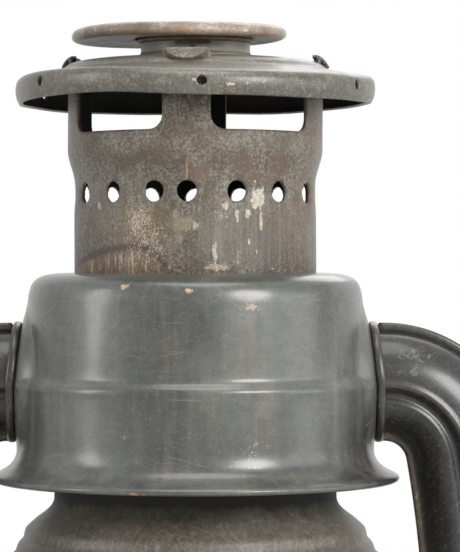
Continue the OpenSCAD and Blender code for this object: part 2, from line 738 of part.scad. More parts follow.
module globe_plate() {
    hole = burner_r + slide_gap;
    ring_r = (hole + sheet + globe_foot_r - glass) / 2;
    dish_path = [
        [hole, plate_z], [plate_r - plate_edge_r, plate_z], [plate_r, plate_z + plate_edge_r],
        [plate_r, plate_z + plate_rim]];
    color(steel) difference() {
        union() {
            sheet_ring(dish_path);
            rotate_extrude() translate([hole, plate_z]) square([sheet, plate_lip_h]);
            intersection() {
                translate([0, ear_y - ear_w / 2, plate_z]) cube([ear_x, ear_w, sheet]);
                difference() {
                    cylinder(r = tank_r, h = mouth_z);
                    cylinder(r = plate_r - 1.5 * plate_edge_r, h = mouth_z);
                }
            }
        }
        for (i = [0 : plate_holes - 1]) rotate([0, 0, 360 * i / plate_holes])
            translate([ring_r, 0, plate_z - cut]) cylinder(r = plate_hole_r, h = 2 * cut);
    }
}

module guard_ring(r, tilt) {
    translate([0, 0, globe_z + guard_rise]) rotate([0, tilt, 0])
        rotate_extrude() translate([r, 0]) circle(r = guard_wire_r, $fn = 32);
}

guard_step = 2 * guard_wire_r + 0.2;

module guard_wire_inner() {
    color(steel) guard_ring(guard_r, guard_tilt);
}

module guard_wire_outer() {
    color(steel) guard_ring(guard_r + guard_step, -guard_tilt);
}

// Studs from the tubes' inner folds to the guard wires
module guard_clips() {
    stud_r = 0.8 * guard_wire_r;
    color(steel) difference() {
        for (side = [-1, 1], wire = [0, 1]) {
            r = guard_r + wire * guard_step;
            rise = (wire == 0 ? -1 : 1) * side * r * sin(guard_tilt);
            x = r * cos(guard_tilt) + guard_wire_r / 2;
            z = globe_z + guard_rise + rise;
            translate([side * x, 0, z]) rotate([0, side * 90, 0])
                cylinder(r = stud_r, h = tube_inner_x(z) - seat_gap - x);
        }
        guard_ring(guard_r, guard_tilt);
        guard_ring(guard_r + guard_step, -guard_tilt);
    }
}

// Stud on the right-hand tube's side with the lever's pin
module lever_stud() {
    boss_r = 4;
    head_h = 1.5;
    root = lobe_b + joint_gap;
    pin_end = -lever_y + lever_t + seat_gap;
    color(steel) translate([pivot_x, 0, pivot_z]) rotate([90, 0, 0]) {
        translate([0, 0, root]) cylinder(r = boss_r, h = -lever_y - seat_gap - root);
        translate([0, 0, root]) cylinder(r = lever_pin_r, h = pin_end + head_h - root);
        translate([0, 0, pin_end]) cylinder(r = lever_pin_r + 1.2, h = head_h);
    }
}

module lift_lever() {
    tip = [-arm_in * cos(arm_lean), -arm_in * sin(arm_lean)];
    handle = [arm_out * cos(arm_lean + 2), -arm_out * sin(arm_lean + 2)];
    color(steel) translate([pivot_x, lever_y, pivot_z]) rotate([90, 0, 0]) difference() {
        union() {
            cylinder(r = hub_r, h = lever_t);
            arm([0, 0], tip, 1.6 * tip_r);
            arm([0, 0], handle, 2 * tip_r);
            translate(tip) cylinder(r = tip_r, h = lever_t);
            translate(handle) cylinder(r = handle_r, h = lever_t);
        }
        translate([0, 0, -1]) cylinder(r = lever_pin_r + pin_gap, h = lever_t + 2);
    }
}

// Flat bar from p to q
module arm(p, q, w) {
    translate(p) rotate([0, 0, atan2(q[1] - p[1], q[0] - p[0])])
        translate([0, -w / 2, 0]) cube([norm(q - p), w, lever_t]);
}

module burner_collar() {
    low = lid_z + sheet;
    bore_r = burner_neck_r - burner_neck_t;
    flange = 3;
    color(brass) rotate_extrude() polygon([
        [bore_r, low], [burner_neck_r + flange, low], [burner_neck_r + flange, low + 1],
        [burner_neck_r, low + 1], [burner_neck_r, burner_floor], [bore_r, burner_floor]]);
}

// Everything about the wick lies along the knob's direction
module wick_turn() {
    rotate([0, 0, knob_turn]) children();
}

module wick_box(grow, z0, z1) {
    translate([-wick_w / 2 - grow, -wick_t / 2 - grow, z0])
        cube([wick_w + 2 * grow, wick_t + 2 * grow, z1 - z0]);
}

module along_shaft(r, x0, x1) {
    translate([x0, -shaft_off, shaft_z]) rotate([0, 90, 0]) cylinder(r = r, h = x1 - x0);
}

module burner_body() {
    flange_z = plate_z - seat_gap - sheet;
    edge = 2;
    cup_path = [
        [0, burner_floor], [burner_r - edge, burner_floor], [burner_r, burner_floor + edge],
        [burner_r, burner_top]];
    color(brass) difference() {
        union() {
            sheet_ring(cup_path);
            rotate_extrude() translate([burner_r - sheet / 2, flange_z])
                square([burner_flange_r - burner_r + sheet / 2, sheet]);
        }
        wick_turn() wick_box(slide_gap + wick_tube_t + joint_gap, burner_floor - 1, burner_floor + 3);
        wick_turn() along_shaft(shaft_r + pin_gap, -burner_r - cut, burner_r + cut);
    }
}

module burner_cone() {
    flat_share = 0.42;
    foot = 1;
    steps = 8;
    cone_path = concat(
        [[burner_r, burner_top]],
        [for (i = [0 : steps])
            let (a = 90 * i / steps)
            [burner_r * (flat_share + (1 - flat_share) * cos(a)),
             burner_top + foot + (cone_h - foot) * sin(a)]],
        [[0, burner_top + cone_h]]);
    color(brass) difference() {
        sheet_ring(cone_path);
        wick_turn() translate([-wick_w / 2 - 2, -wick_t, burner_top + 3])
            cube([wick_w + 4, 2 * wick_t, cone_h]);
    }
}

module wick_tube() {
    low = burner_floor - wick_tube_drop;
    high = burner_top + cone_h / 2;
    color(brass) wick_turn() difference() {
        wick_box(slide_gap + wick_tube_t, low, high);
        wick_box(slide_gap, low - 1, high + 1);
        wheel_slots();
    }
}

module wheel_slots() {
    room = 0.5;
    half = wheel_w / 2 + room;
    for (side = [-1, 1])
        along_shaft(wheel_r + room, side * wheel_place - half, side * wheel_place + half);
}

module wick() {
    low = foot_h + sheet + 8;
    color("#e6dcc4") wick_turn() wick_box(0, low, burner_top + 7.5);
}

module wick_shaft() {
    color(steel) wick_turn() along_shaft(shaft_r, -burner_r - 1, knob_reach);
}

module wick_wheels() {
    color(brass) wick_turn() for (side = [-1, 1]) difference() {
        along_shaft(wheel_r, side * wheel_place - wheel_w / 2, side * wheel_place + wheel_w / 2);
        along_shaft(shaft_r + joint_gap, -burner_r, burner_r);
    }
}

// Small bracket on the dome's flat top that carries the wick shaft
module shaft_bracket() {
    half_w = 4;
    color(paint_dark) wick_turn() difference() {
        translate([bracket_r - sheet, -shaft_off - half_w, dome_top]) union() {
            cube([sheet, 2 * half_w, shaft_rise + shaft_r + 1.2]);
            translate([-4, 0, 0]) cube([4 + sheet, 2 * half_w, sheet]);
        }
        along_shaft(shaft_r + pin_gap, bracket_r - 6, bracket_r + 6);
    }
}

module wick_knob() {
    groove_r = 0.7;
    color(brass) wick_turn() difference() {
        union() {
            along_shaft(knob_r, knob_reach - 1, knob_reach - 1 + knob_w);
            along_shaft(shaft_r + 2, knob_reach - 4, knob_reach);
        }
        along_shaft(shaft_r + joint_gap, knob_reach - 5, knob_reach + joint_gap);
        for (i = [0 : knob_grooves - 1]) translate([knob_reach - 2, -shaft_off, shaft_z])
            rotate([360 * i / knob_grooves, 0, 0]) translate([0, 0, knob_r]) rotate([0, 90, 0])
                cylinder(r = groove_r, h = knob_w + 2, $fn = 24);
    }
}

// Frame of the filler: origin on the dome's slope, +Z square to it
module filler_axis() {
    rotate([0, 0, filler_turn]) translate([slope_mid[0], 0, slope_mid[1]]) rotate([0, slope_angle, 0])
        children();
}

module filler_neck() {
    root = 3;
    color(paint) difference() {
        union() {
            filler_axis() translate([0, 0, filler_floor]) cylinder(r = filler_r, h = filler_h - filler_floor);
            difference() {
                filler_axis() translate([0, 0, -root])
                    cylinder(r = filler_r + filler_flange, h = filler_flange_h + root);
                dome_core();
            }
        }
        filler_axis() translate([0, 0, filler_floor - 1])
            cylinder(r = filler_r - filler_wall, h = filler_h - filler_floor + 2);
        cylinder(r = tank_r, h = lid_z + sheet);
    }
}

// Screw cap with a ribbed edge; its inner top lies on the gasket
module filler_cap() {
    low = filler_flange_h + filler_cap_gap;
    seat = filler_h + gasket_t + 2 * joint_gap;
    top = seat + filler_wall;
    ribs = 24;
    color(paint_dark) filler_axis() difference() {
        union() {
            translate([0, 0, low]) cylinder(r = filler_cap_r, h = top - low - 1);
            translate([0, 0, low]) cylinder(r = filler_cap_r - 0.8, h = top - low);
            for (i = [0 : ribs - 1]) rotate([0, 0, 360 * i / ribs]) translate([filler_cap_r, 0, low + 1])
                cylinder(r = 0.6, h = top - low - 2.5, $fn = 24);
        }
        translate([0, 0, low - 1]) cylinder(r = filler_r + slide_gap, h = seat - low + 1);
    }
}

module cap_gasket() {
    color("#5b4636") filler_axis() translate([0, 0, filler_h + joint_gap]) difference() {
        cylinder(r = filler_r, h = gasket_t);
        translate([0, 0, -1]) cylinder(r = filler_r - 2 * filler_wall, h = gasket_t + 2);
    }
}

// Upright ear plate whose foot straddles the tube's outer fold
module bail_ear_right() {
    low = ear_z - 9;
    foot_t = 4;
    foot_half = 2.6;
    grip = 1.6;
    lip_x = tube_lip_x(low);
    color(paint_dark) difference() {
        union() {
            translate([ear_plate_x, 0, ear_z]) rotate([0, 90, 0]) cylinder(r = ear_plate_r, h = ear_plate_t);
            translate([ear_plate_x, -ear_plate_r, low]) cube([ear_plate_t, 2 * ear_plate_r, ear_z - low]);
            translate([lip_x - grip, -foot_half, low])
                cube([ear_plate_x - lip_x + grip + ear_plate_t / 3, 2 * foot_half, foot_t]);
        }
        translate([ear_plate_x - 3, 0, ear_z]) rotate([0, 90, 0]) cylinder(r = bail_pin_r + pin_gap, h = 8);
        translate([lip_x - grip - 1, -fold_t - joint_gap, low - 1])
            cube([grip + 1 + joint_gap, 2 * (fold_t + joint_gap), foot_t + 2]);
    }
}

module bail_ear_left() {
    mirror([1, 0, 0]) bail_ear_right();
}

// Wire bail, hanging behind the lantern on the tank's seam
module bail() {
    straight = bail_len - bail_x;
    head_t = 0.8;
    color(steel) translate([0, 0, ear_z]) rotate([bail_lean, 0, 0]) {
        translate([0, 0, -straight]) rotate([90, 0, 0]) rotate([0, 0, 180]) rotate_extrude(angle = 180)
            translate([bail_x, 0]) circle(r = bail_wire_r, $fn = 32);
        for (side = [-1, 1]) {
            translate([side * bail_x, 0, -straight]) cylinder(r = bail_wire_r, h = straight);
            translate([side * bail_x, 0, 0]) sphere(r = bail_wire_r);
            translate([side * (ear_plate_x - head_t), 0, 0]) rotate([0, side * 90, 0])
                cylinder(r = bail_pin_r, h = bail_x - ear_plate_x + head_t);
            translate([side * (ear_plate_x - seat_gap - head_t), 0, 0]) rotate([0, side * 90, 0])
                cylinder(r = bail_pin_r + 0.7, h = head_t);
        }
    }
}

base_pan();
tank_bowl();
tank_lid();
tank_seam();
air_dome();
tube_foot_left();
tube_foot_right();
side_tube_left();
side_tube_right();
tube_collar_left();
tube_collar_right();
chamber_shell();
chamber_floor();
chimney_spring();
chimney_tube();
globe_hood();
canopy();
cap_collar();
top_cap();
globe();
globe_plate();
guard_wire_inner();
guard_wire_outer();
guard_clips();
lever_stud();
lift_lever();
burner_collar();
burner_body();
burner_cone();
wick_tube();
wick();
wick_shaft();
wick_wheels();
shaft_bracket();
wick_knob();
filler_neck();
filler_cap();
cap_gasket();
bail_ear_left();
bail_ear_right();
bail();
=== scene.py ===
import json
import math
from functools import partial

import bmesh
import bpy
import numpy as np
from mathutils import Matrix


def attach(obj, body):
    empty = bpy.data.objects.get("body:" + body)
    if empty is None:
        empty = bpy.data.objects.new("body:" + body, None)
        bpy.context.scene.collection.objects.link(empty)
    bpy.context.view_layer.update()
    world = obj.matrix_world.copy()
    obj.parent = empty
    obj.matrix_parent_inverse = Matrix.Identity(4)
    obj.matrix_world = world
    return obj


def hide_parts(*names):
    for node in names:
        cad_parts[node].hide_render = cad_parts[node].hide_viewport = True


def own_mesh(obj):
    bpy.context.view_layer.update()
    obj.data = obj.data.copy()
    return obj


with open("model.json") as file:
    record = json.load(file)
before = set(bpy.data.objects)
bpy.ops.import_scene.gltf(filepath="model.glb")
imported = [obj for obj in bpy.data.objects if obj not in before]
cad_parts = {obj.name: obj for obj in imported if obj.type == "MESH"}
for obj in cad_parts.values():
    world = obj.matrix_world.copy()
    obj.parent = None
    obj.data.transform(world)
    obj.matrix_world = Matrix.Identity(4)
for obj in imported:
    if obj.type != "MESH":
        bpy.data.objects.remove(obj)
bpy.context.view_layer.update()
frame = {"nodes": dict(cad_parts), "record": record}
nodes = frame["nodes"]
behaviour = frame["record"]["behaviour"]
mm = 0.001
bodyOf = {node: body for body, members in behaviour["bodies"].items() for node in members}
slotOf = {row["node"]: row["material_slot"] for row in frame["record"]["subparts"]}
print("frame loaded:", len(nodes), "nodes")

# level with the chimney's foot, turned and tipped a little so the axis lands left of the middle
photo = {
    "width": 460, "height": 552, "mmPerPixel": 0.22, "axisPixel": 195.5, "eyePixel": 252, "eyeHeight": 229.6,
    "distance": 649, "sensor": 36, "nearClip": 0.01}


def addCamera(p):
    # lens: sensor height times distance, over the height that the picture shows at the lantern's axis
    data = bpy.data.cameras.new("photoCamera")
    data.sensor_fit = "VERTICAL"
    data.sensor_height = p["sensor"]
    data.lens = p["sensor"] * p["distance"] / (p["height"] * p["mmPerPixel"])
    data.clip_start = p["nearClip"]
    camera = bpy.data.objects.new("photoCamera", data)
    bpy.context.scene.collection.objects.link(camera)
    yaw = math.atan((p["width"] / 2 - p["axisPixel"]) * p["mmPerPixel"] / p["distance"])
    pitch = math.atan((p["height"] / 2 - p["eyePixel"]) * p["mmPerPixel"] / p["distance"])
    camera.location = (0, -p["distance"] * mm, p["eyeHeight"] * mm)
    camera.rotation_euler = (math.pi / 2 - pitch, 0, -yaw)
    bpy.context.scene.camera = camera


addCamera(photo)
bpy.context.scene.view_settings.view_transform = "Standard"


class Wire:
    # a socket that arithmetic can be done on: each operator adds one Math node
    def __init__(self, tree, socket):
        self.tree, self.socket = tree, socket

    def math(self, operation, *values, clamp=False):
        node = self.tree.nodes.new("ShaderNodeMath")
        node.operation, node.use_clamp = operation, clamp
        for value, socket in zip(values, node.inputs):
            plug(self.tree, value, socket)
        return Wire(self.tree, node.outputs[0])

    def __add__(self, other): return self.math("ADD", self, other)
    def __radd__(self, other): return self.math("ADD", other, self)
    def __sub__(self, other): return self.math("SUBTRACT", self, other)
    def __rsub__(self, other): return self.math("SUBTRACT", other, self)
    def __mul__(self, other): return self.math("MULTIPLY", self, other)
    def __truediv__(self, other): return self.math("DIVIDE", self, other)
    def __pow__(self, other): return self.math("POWER", self, other)
    def __neg__(self): return self.math("MULTIPLY", self, -1)
    def sine(self): return self.math("SINE", self)
    def clip(self): return self.math("ADD", self, 0, clamp=True)

    def above(self, low, high):
        # 0 at low, 1 at high, straight between
        return ((self - low) / (high - low)).clip()

    def near(self, middle, width):
        # 1 at the middle, falling off as exp(-(distance / width) squared)
        d = (self - middle) / width
        return self.math("EXPONENT", -(d * d))


def plug(tree, value, socket):
    # a Wire is linked, anything else becomes the socket's own value
    if isinstance(value, Wire):
        tree.links.new(value.socket, socket)
    else:
        socket.default_value = value


class Finish:
    # one material: node() adds any node, mix() blends two colours, lay() paints over, use() feeds the shader
    def __init__(self, name, **fixed):
        self.material = bpy.data.materials.new(name)
        self.material.use_nodes = True
        self.tree = self.material.node_tree
        self.shader = self.tree.nodes["Principled BSDF"]
        for socket, value in fixed.items():
            self.shader.inputs[socket].default_value = value
        self.at = self.node("ShaderNodeTexCoord", {}, {}, "Object")

    def node(self, kind, settings, sockets, out=0):
        node = self.tree.nodes.new(kind)
        for key, value in settings.items():
            setattr(node, key, value)
        for key, value in sockets.items():
            plug(self.tree, value, node.inputs[key])
        return Wire(self.tree, node.outputs[out])

    def axes(self):
        # x, y and z in millimetres
        split = self.tree.nodes.new("ShaderNodeSeparateXYZ")
        plug(self.tree, self.at, split.inputs[0])
        return [Wire(self.tree, split.outputs[k]) * 1000 for k in range(3)]

    def noise(self, perMetre, detail=4, rough=0.55, stretch=(1, 1, 1), shift=(0, 0, 0), turn=(0, 0, 0),
              at=None):
        # shift and turn move the pattern, then a stretch below 1 draws it out along an axis
        where = self.node("ShaderNodeMapping", {"vector_type": "TEXTURE"},
                          {"Vector": at or self.at, "Location": shift, "Rotation": turn,
                           "Scale": tuple(1 / k for k in stretch)})
        return self.node("ShaderNodeTexNoise", {}, {"Vector": where, "Scale": perMetre, "Detail": detail,
                                                    "Roughness": rough})

    def strokes(self, s):
        # hair scratches: noise on the unrolled sheet (arc, height less radius), drawn out along lines,
        # only its peaks kept
        x, y, z = self.axes()
        arc = x.math("ARCTAN2", x, -y) * s["radius"]
        slant = (z - (x * x + y * y) ** 0.5) * mm
        wall = self.node("ShaderNodeCombineXYZ", {}, {"X": arc, "Z": slant})
        lines = [self.noise(s["perMetre"], 1, 0.5, (s["draw"], 1, 1), (k * 3 + 1, k, 7 - k), (0, turn, 0), wall)
                 for k, turn in enumerate(s["turns"])]
        return sum(line.above(s["low"], s["high"]) for line in lines).clip()

    def mix(self, share, first, second):
        sockets = {0: share, 6: ready(first), 7: ready(second)}
        return self.node("ShaderNodeMix", {"data_type": "RGBA"}, sockets, 2)

    def lay(self, share, colour):
        # a share of one colour over what is there
        self.colour = self.mix(share, self.colour, colour)

    def wear(self):
        return self.node("ShaderNodeAttribute", {"attribute_name": "wear"}, {}, "Fac")

    def bump(self, height, strength, distance):
        sockets = {"Height": height, "Strength": strength, "Distance": distance}
        self.use({"Normal": self.node("ShaderNodeBump", {}, sockets)})

    def use(self, sockets):
        for key, value in sockets.items():
            plug(self.tree, value, self.shader.inputs[key])


def shade(red, green, blue):
    # a colour seen on screen, as the linear value the shader wants
    linear = (((c / 255 + 0.055) / 1.055) ** 2.4 if c > 10 else c / 3294.6 for c in (red, green, blue))
    return (*linear, 1)


def ready(colour):
    # a Wire or a linear colour as it is; one named in tints or given as seen on screen is made linear
    if isinstance(colour, Wire):
        return colour
    value = tints.get(colour, colour)
    return value if len(value) == 4 else shade(*value)


tints = {
    "foldFilm": (96, 87, 75), "hairline": (156, 153, 145), "dirt": (50, 46, 39), "dust": (140, 134, 120),
    "rust": (104, 74, 52), "primer": (146, 122, 94), "rinse": (134, 130, 120), "paleGrain": (150, 143, 130),
    "brownGrain": (62, 52, 43), "scorch": (72, 59, 47), "curl": (160, 152, 138), "tideRust": (104, 78, 54),
    "tidePale": (166, 147, 118), "tideEdge": (64, 46, 38), "speck": (168, 157, 139), "bare": (178, 164, 138),
    "edgeRust": (96, 66, 46), "crack": (156, 130, 106), "darkTop": (18, 18, 16), "soot": (16, 15, 14),
    "sootBloom": (44, 40, 36), "drawnSteel": (170, 168, 162), "rustFreckle": (104, 70, 46),
    "brassDark": (116, 86, 44), "brass": (188, 150, 82), "brassBright": (214, 182, 116),
    "tarnish": (72, 54, 34), "threadShade": (176, 160, 128), "thread": (228, 218, 194), "char": (26, 22, 20),
    "corkDark": (66, 48, 34), "cork": (142, 108, 74)}
scratches = {
    "perMetre": 2000, "low": 0.68, "high": 0.77, "turns": (0.06, 0.3, 0.6, 2.6, 2.95), "draw": 0.03,
    "radius": 0.04}
# what an enamel has unless its own values say otherwise
plainEnamel = {
    "marks": (), "chips": 0.3, "film": (112, 106, 94), "coat": 0.3, "coatRough": 0.3, "shine": 0.42,
    "folds": 0.0, "rub": 0.24, "dust": 0.1}


def enamel(name, tone, dark, gloss, **own):
    # worn enamel: cloudy tone, upright film, brushing round the wall, hair scratches, dust,
    # and chips where wear or a mark lies; on the chamber and the right tube some marks are painted highlights and
    # painted light
    e = {**plainEnamel, **own}
    f = Finish(name, **{"Specular IOR Level": e["shine"], "Coat Roughness": e["coatRough"]})
    x, y, z = f.axes()
    front = (-y).above(0, 6)
    cloud = f.noise(24, 5, 0.6)
    blotch = f.noise(105, 4, 0.62, shift=(3, 1, 2))
    streak = f.noise(260, 4, 0.6, stretch=(1, 1, 0.1), shift=(1, 5, 0))
    brush = f.noise(1500, 4, 0.65, stretch=(0.12, 0.12, 1), shift=(6, 2, 1))
    grain = f.noise(1900, 3, 0.65, shift=(4, 4, 4))
    flake = f.noise(620, 6, 0.75, shift=(2, 8, 5))
    wear = f.wear()
    rubs = f.strokes(scratches) * blotch.above(0.42, 0.58)
    f.colour = f.mix(cloud.above(0.36, 0.64), dark, tone)
    f.lay(blotch.above(0.48, 0.68) * 0.55, dark)
    f.lay(brush.above(0.5, 0.7) * 0.3, dark)
    f.lay(streak.above(0.5, 0.74) * 0.4, e["film"])
    if e["folds"]:
        f.lay((wear * 2 * e["folds"] + (blotch - 0.5) * wear * 2).clip() * 0.8, "foldFilm")
    f.lay(rubs * e["rub"], "hairline")
    speck = grain * 0.55 + flake * 0.45
    f.lay((0.52 - speck).above(0.02, 0.14) * e["dust"], "dirt")
    f.lay(speck.above(0.52, 0.64) * (e["dust"] + 0.1), "dust")
    ragged = flake + wear * 0.4 + (grain - 0.5) * 0.2
    chip = ragged.above(0.82 - 0.1 * e["chips"], 0.85 - 0.1 * e["chips"])
    f.lay(chip * 0.9, f.mix(blotch.above(0.4, 0.6), "rust", "primer"))
    # each mark lays its own colour in a ragged oval: chips and stains, and on the chamber and the right tube also
    # painted highlights and painted light
    for midX, midZ, wideX, wideZ, share, ground in e["marks"]:
        spot = x.near(midX, wideX) * z.near(midZ, wideZ) * front * share
        edge = (spot + (flake - 0.5) * 1.5 + (grain - 0.5) * 0.8).above(0.5, 0.62)
        f.lay(edge, ground)
    rough = gloss + (cloud - 0.5) * 0.3 + (brush - 0.5) * 0.16 + streak.above(0.45, 0.7) * 0.1
    rough = (rough + chip * 0.3 + rubs * 0.06).clip()
    f.use({"Base Color": f.colour, "Roughness": rough, "Coat Weight": ((1 - chip) * e["coat"]).clip()})
    height = cloud * 0.4 + blotch * 0.1 + brush * 0.045 + grain * 0.05 - chip * 0.06 - rubs * 0.01
    f.bump(height, 0.6, 0.001)
    return f.material


def heatWorn(name, tone, dark, gloss, marks):
    # enamel dulled by heat: brown grain outside its calm places, streaks, stains and painted shade, curls,
    # a tide line, specks, bare flecks, a crack, and darkening towards the top, on the hood painted shade with
    # grime
    f = Finish(name, **{"Specular IOR Level": 0.35, "Sheen Weight": 0.3, "Sheen Roughness": 0.35})
    x, y, z = f.axes()
    front = (-y).above(0, 4)

    def zone(midX, midZ, wideX, wideZ, share):
        # soft oval on the front: a bell in x times a bell in z
        return x.near(midX, wideX) * z.near(midZ, wideZ) * front * share

    cloud = f.noise(40, 5, 0.6)
    blotch = f.noise(190, 5, 0.68, shift=(5, 2, 1))
    streak = f.noise(800, 4, 0.65, stretch=(1, 1, 0.05), shift=(2, 3, 0))
    grain = f.noise(1700, 3, 0.7, shift=(1, 7, 2))
    flake = f.noise(650, 6, 0.75, stretch=(1, 1, 0.55), shift=(9, 2, 4))
    wear = f.wear()
    busy = 1 - sum(zone(*place) for place in marks.get("calm", ()))
    f.colour = f.mix(cloud.above(0.36, 0.66), dark, tone)
    f.lay(streak.above(0.46, 0.66) * 0.4, "rinse")
    f.lay((0.5 - grain).above(0, 0.14) * busy * 0.5, "paleGrain")
    f.lay(grain.above(0.5, 0.62) * busy * 0.78, "brownGrain")
    f.lay(blotch.above(0.46, 0.62) * busy * 0.74, "scorch")
    # stains, and on the chimney also painted shade under the canopy's rim
    for *place, stainAndShadeTint in marks.get("stainsAndShade", ()):
        patch = zone(*place) * (blotch * 0.5 + grain * 0.5).above(0.4, 0.56)
        f.lay(patch.clip(), stainAndShadeTint)
    if "curls" in marks:
        midZ, wideZ = marks["curls"]
        bend = f.noise(270, 1.5, 0.5, shift=(2, 6, 3))
        curl = (bend.near(0.56, 0.009) + bend.near(0.46, 0.007)) * z.near(midZ, wideZ)
        f.lay((curl * blotch.above(0.44, 0.54)).clip() * 0.36, "curl")
    if "tide" in marks:
        t = marks["tide"]
        dx = x - t["x"]
        bow = dx * dx * (t["left"] + dx.above(0, 0.5) * t["right"])
        line = z - t["z"] + bow + (blotch - 0.5) * 3 + (flake - 0.5)
        body = x.above(t["from"] - 1, t["from"] + 2) * (1 - x.above(t["to"] - 1.5, t["to"] + 1.5)) * front
        drawn = f.noise(1900, 4, 0.7, stretch=(1, 1, 0.06), shift=(7, 1, 0)) * 0.6 + flake * 0.4
        under = (-line).above(0.2, 1.4) * body
        f.lay((under * drawn.above(0.42, 0.5) * 0.7).clip(), "tideRust")
        f.lay((under * drawn.above(0.51, 0.58)).clip(), "tidePale")
        f.lay((line.near(0.2, t["thick"]) * body * 1.5).clip() * 0.8, "tideEdge")
    if "specks" in marks:
        dots = f.noise(3400, 3, 0.65, stretch=(1, 1, 0.6), shift=(3, 3, 8))
        dots = dots + sum(zone(*place) for place in marks["specks"]) + (flake - 0.5) * 0.4
        f.lay(dots.above(0.7, 0.8), "speck")
    bare = (flake + wear * 0.25).above(0.76, 0.8)
    f.lay(bare, "bare")
    for *place, fleck in marks.get("flecks", ()):
        edge = (zone(*place) + (flake - 0.5) * 1.6 + (grain - 0.5) * 0.6).above(0.56, 0.63)
        ground = f.mix(grain.above(0.36, 0.6), tuple(c * 0.6 for c in shade(*fleck)), fleck)
        f.lay(edge * (0.75 + grain * 0.4).clip(), ground)
    f.lay((wear * blotch.above(0.42, 0.6) * 0.6).clip(), "edgeRust")
    if "crack" in marks:
        midX, low, high = marks["crack"]
        slit = (x + (blotch - 0.5) * 1.5).near(midX, 0.17) * z.above(low, low + 0.6)
        f.lay(slit * (1 - z.above(high - 2.5, high)) * front * 0.85, "crack")
    rough = gloss + (cloud - 0.5) * 0.3 + bare * 0.2
    # darker and rougher towards the top: on the hood this is painted shade under the chamber's lip, with grime;
    # on the cap the dish just grows darker towards its top
    if "darkTop" in marks:
        low, high, share = marks["darkTop"]
        darkTop = (z + (blotch - 0.5) * (high - low)).above(low, high) * share
        f.lay(darkTop, "darkTop")
        rough = rough + darkTop * 0.4
    f.use({"Base Color": f.colour, "Roughness": rough.clip()})
    f.bump(cloud * 0.3 + blotch * 0.12 + streak * 0.04 + grain * 0.03 + bare * 0.05, 0.7, 0.001)
    return f.material


def soot():
    # inside of the flue: black with a grey bloom
    f = Finish("sootBlack")
    bloom = f.noise(180, 5, 0.65)
    f.use({"Base Color": f.mix(bloom.above(0.4, 0.7), "soot", "sootBloom"),
           "Roughness": 0.75 + bloom * 0.2})
    f.bump(bloom, 0.4, 0.0008)
    return f.material


def tinned(name, tone, dark, gloss):
    # dull tinned steel: drawn lines, grey bloom and rust freckles
    f = Finish(name)
    cloud = f.noise(60, 5, 0.6)
    lines = f.noise(1400, 3, 0.6, stretch=(1, 1, 0.06))
    freckle = f.noise(700, 4, 0.7, shift=(3, 3, 3))
    rust = (freckle + cloud * 0.3).above(0.77, 0.86)
    f.colour = f.mix(cloud.above(0.35, 0.68), dark, tone)
    f.lay(lines.above(0.5, 0.75) * 0.3, "drawnSteel")
    f.lay(rust, "rustFreckle")
    f.use({"Base Color": f.colour, "Metallic": (0.85 - rust * 0.8).clip(),
           "Roughness": (gloss + (cloud - 0.5) * 0.3 + rust * 0.35).clip()})
    f.bump(cloud * 0.3 + lines * 0.15 + freckle * 0.2, 0.35, 0.0005)
    return f.material


def tarnishedBrass():
    # brass with brown tarnish in clouds and spots, and brighter turned lines
    f = Finish("tarnishedBrass")
    cloud = f.noise(90, 5, 0.62)
    lines = f.noise(1600, 3, 0.6, stretch=(0.08, 0.08, 1))
    spot = f.noise(800, 4, 0.7, shift=(5, 1, 2))
    f.colour = f.mix(cloud.above(0.36, 0.66), "brassDark", "brass")
    f.lay(lines.above(0.52, 0.75) * 0.3, "brassBright")
    f.lay(spot.above(0.62, 0.74) * 0.7, "tarnish")
    f.use({"Base Color": f.colour, "Metallic": (0.95 - spot.above(0.62, 0.74) * 0.5).clip(),
           "Roughness": (0.34 + (0.6 - cloud) * 0.4 + lines * 0.08).clip()})
    f.bump(cloud * 0.2 + spot * 0.2 + lines * 0.1, 0.3, 0.0004)
    return f.material


def lampGlass():
    # pressed glass with faint waves and a breath of soot near the top
    f = Finish("globeGlass", **{"Transmission Weight": 1.0, "IOR": 1.47, "Coat Weight": 0.0})
    film = f.noise(140, 5, 0.65, shift=(1, 2, 3))
    haze = (film.above(0.5, 0.8) * 0.35 + f.axes()[2].above(140, 175) * 0.25).clip()
    f.use({"Base Color": f.mix(haze, (0.93, 0.97, 0.95, 1), (0.72, 0.72, 0.68, 1)),
           "Roughness": 0.02 + haze * 0.12})
    f.bump(f.noise(38, 3, 0.5), 0.25, 0.002)
    return f.material


def wickCotton(turn, warp, weft, charLow, charHigh):
    # woven ribbon: sine of the way across times sine of the way up, charred towards the top
    f = Finish("wickCotton", **{"Sheen Weight": 0.3})
    x, y, z = f.axes()
    across = x * math.cos(math.radians(turn)) + y * math.sin(math.radians(turn))
    weave = (across * warp).sine() * (z * weft).sine() * 0.5 + 0.5
    lint = f.noise(900, 4, 0.65)
    f.colour = f.mix(weave * 0.6 + lint * 0.3, "threadShade", "thread")
    f.lay((z + lint * 4).above(charLow, charHigh), "char")
    f.use({"Base Color": f.colour, "Roughness": 0.9 + lint * 0.05})
    f.bump(weave + lint * 0.4, 0.6, 0.0004)
    return f.material


def cork():
    # pressed cork crumbs
    f = Finish("pressedCork")
    cells = f.node("ShaderNodeTexVoronoi", {}, {"Vector": f.at, "Scale": 900.0})
    cloud = f.noise(300, 4, 0.6)
    f.use({"Base Color": f.mix((cells * 0.8 + cloud * 0.5).clip(), "corkDark", "cork"),
           "Roughness": 0.8 + cloud * 0.1})
    f.bump(cells + cloud * 0.4, 0.5, 0.0004)
    return f.material
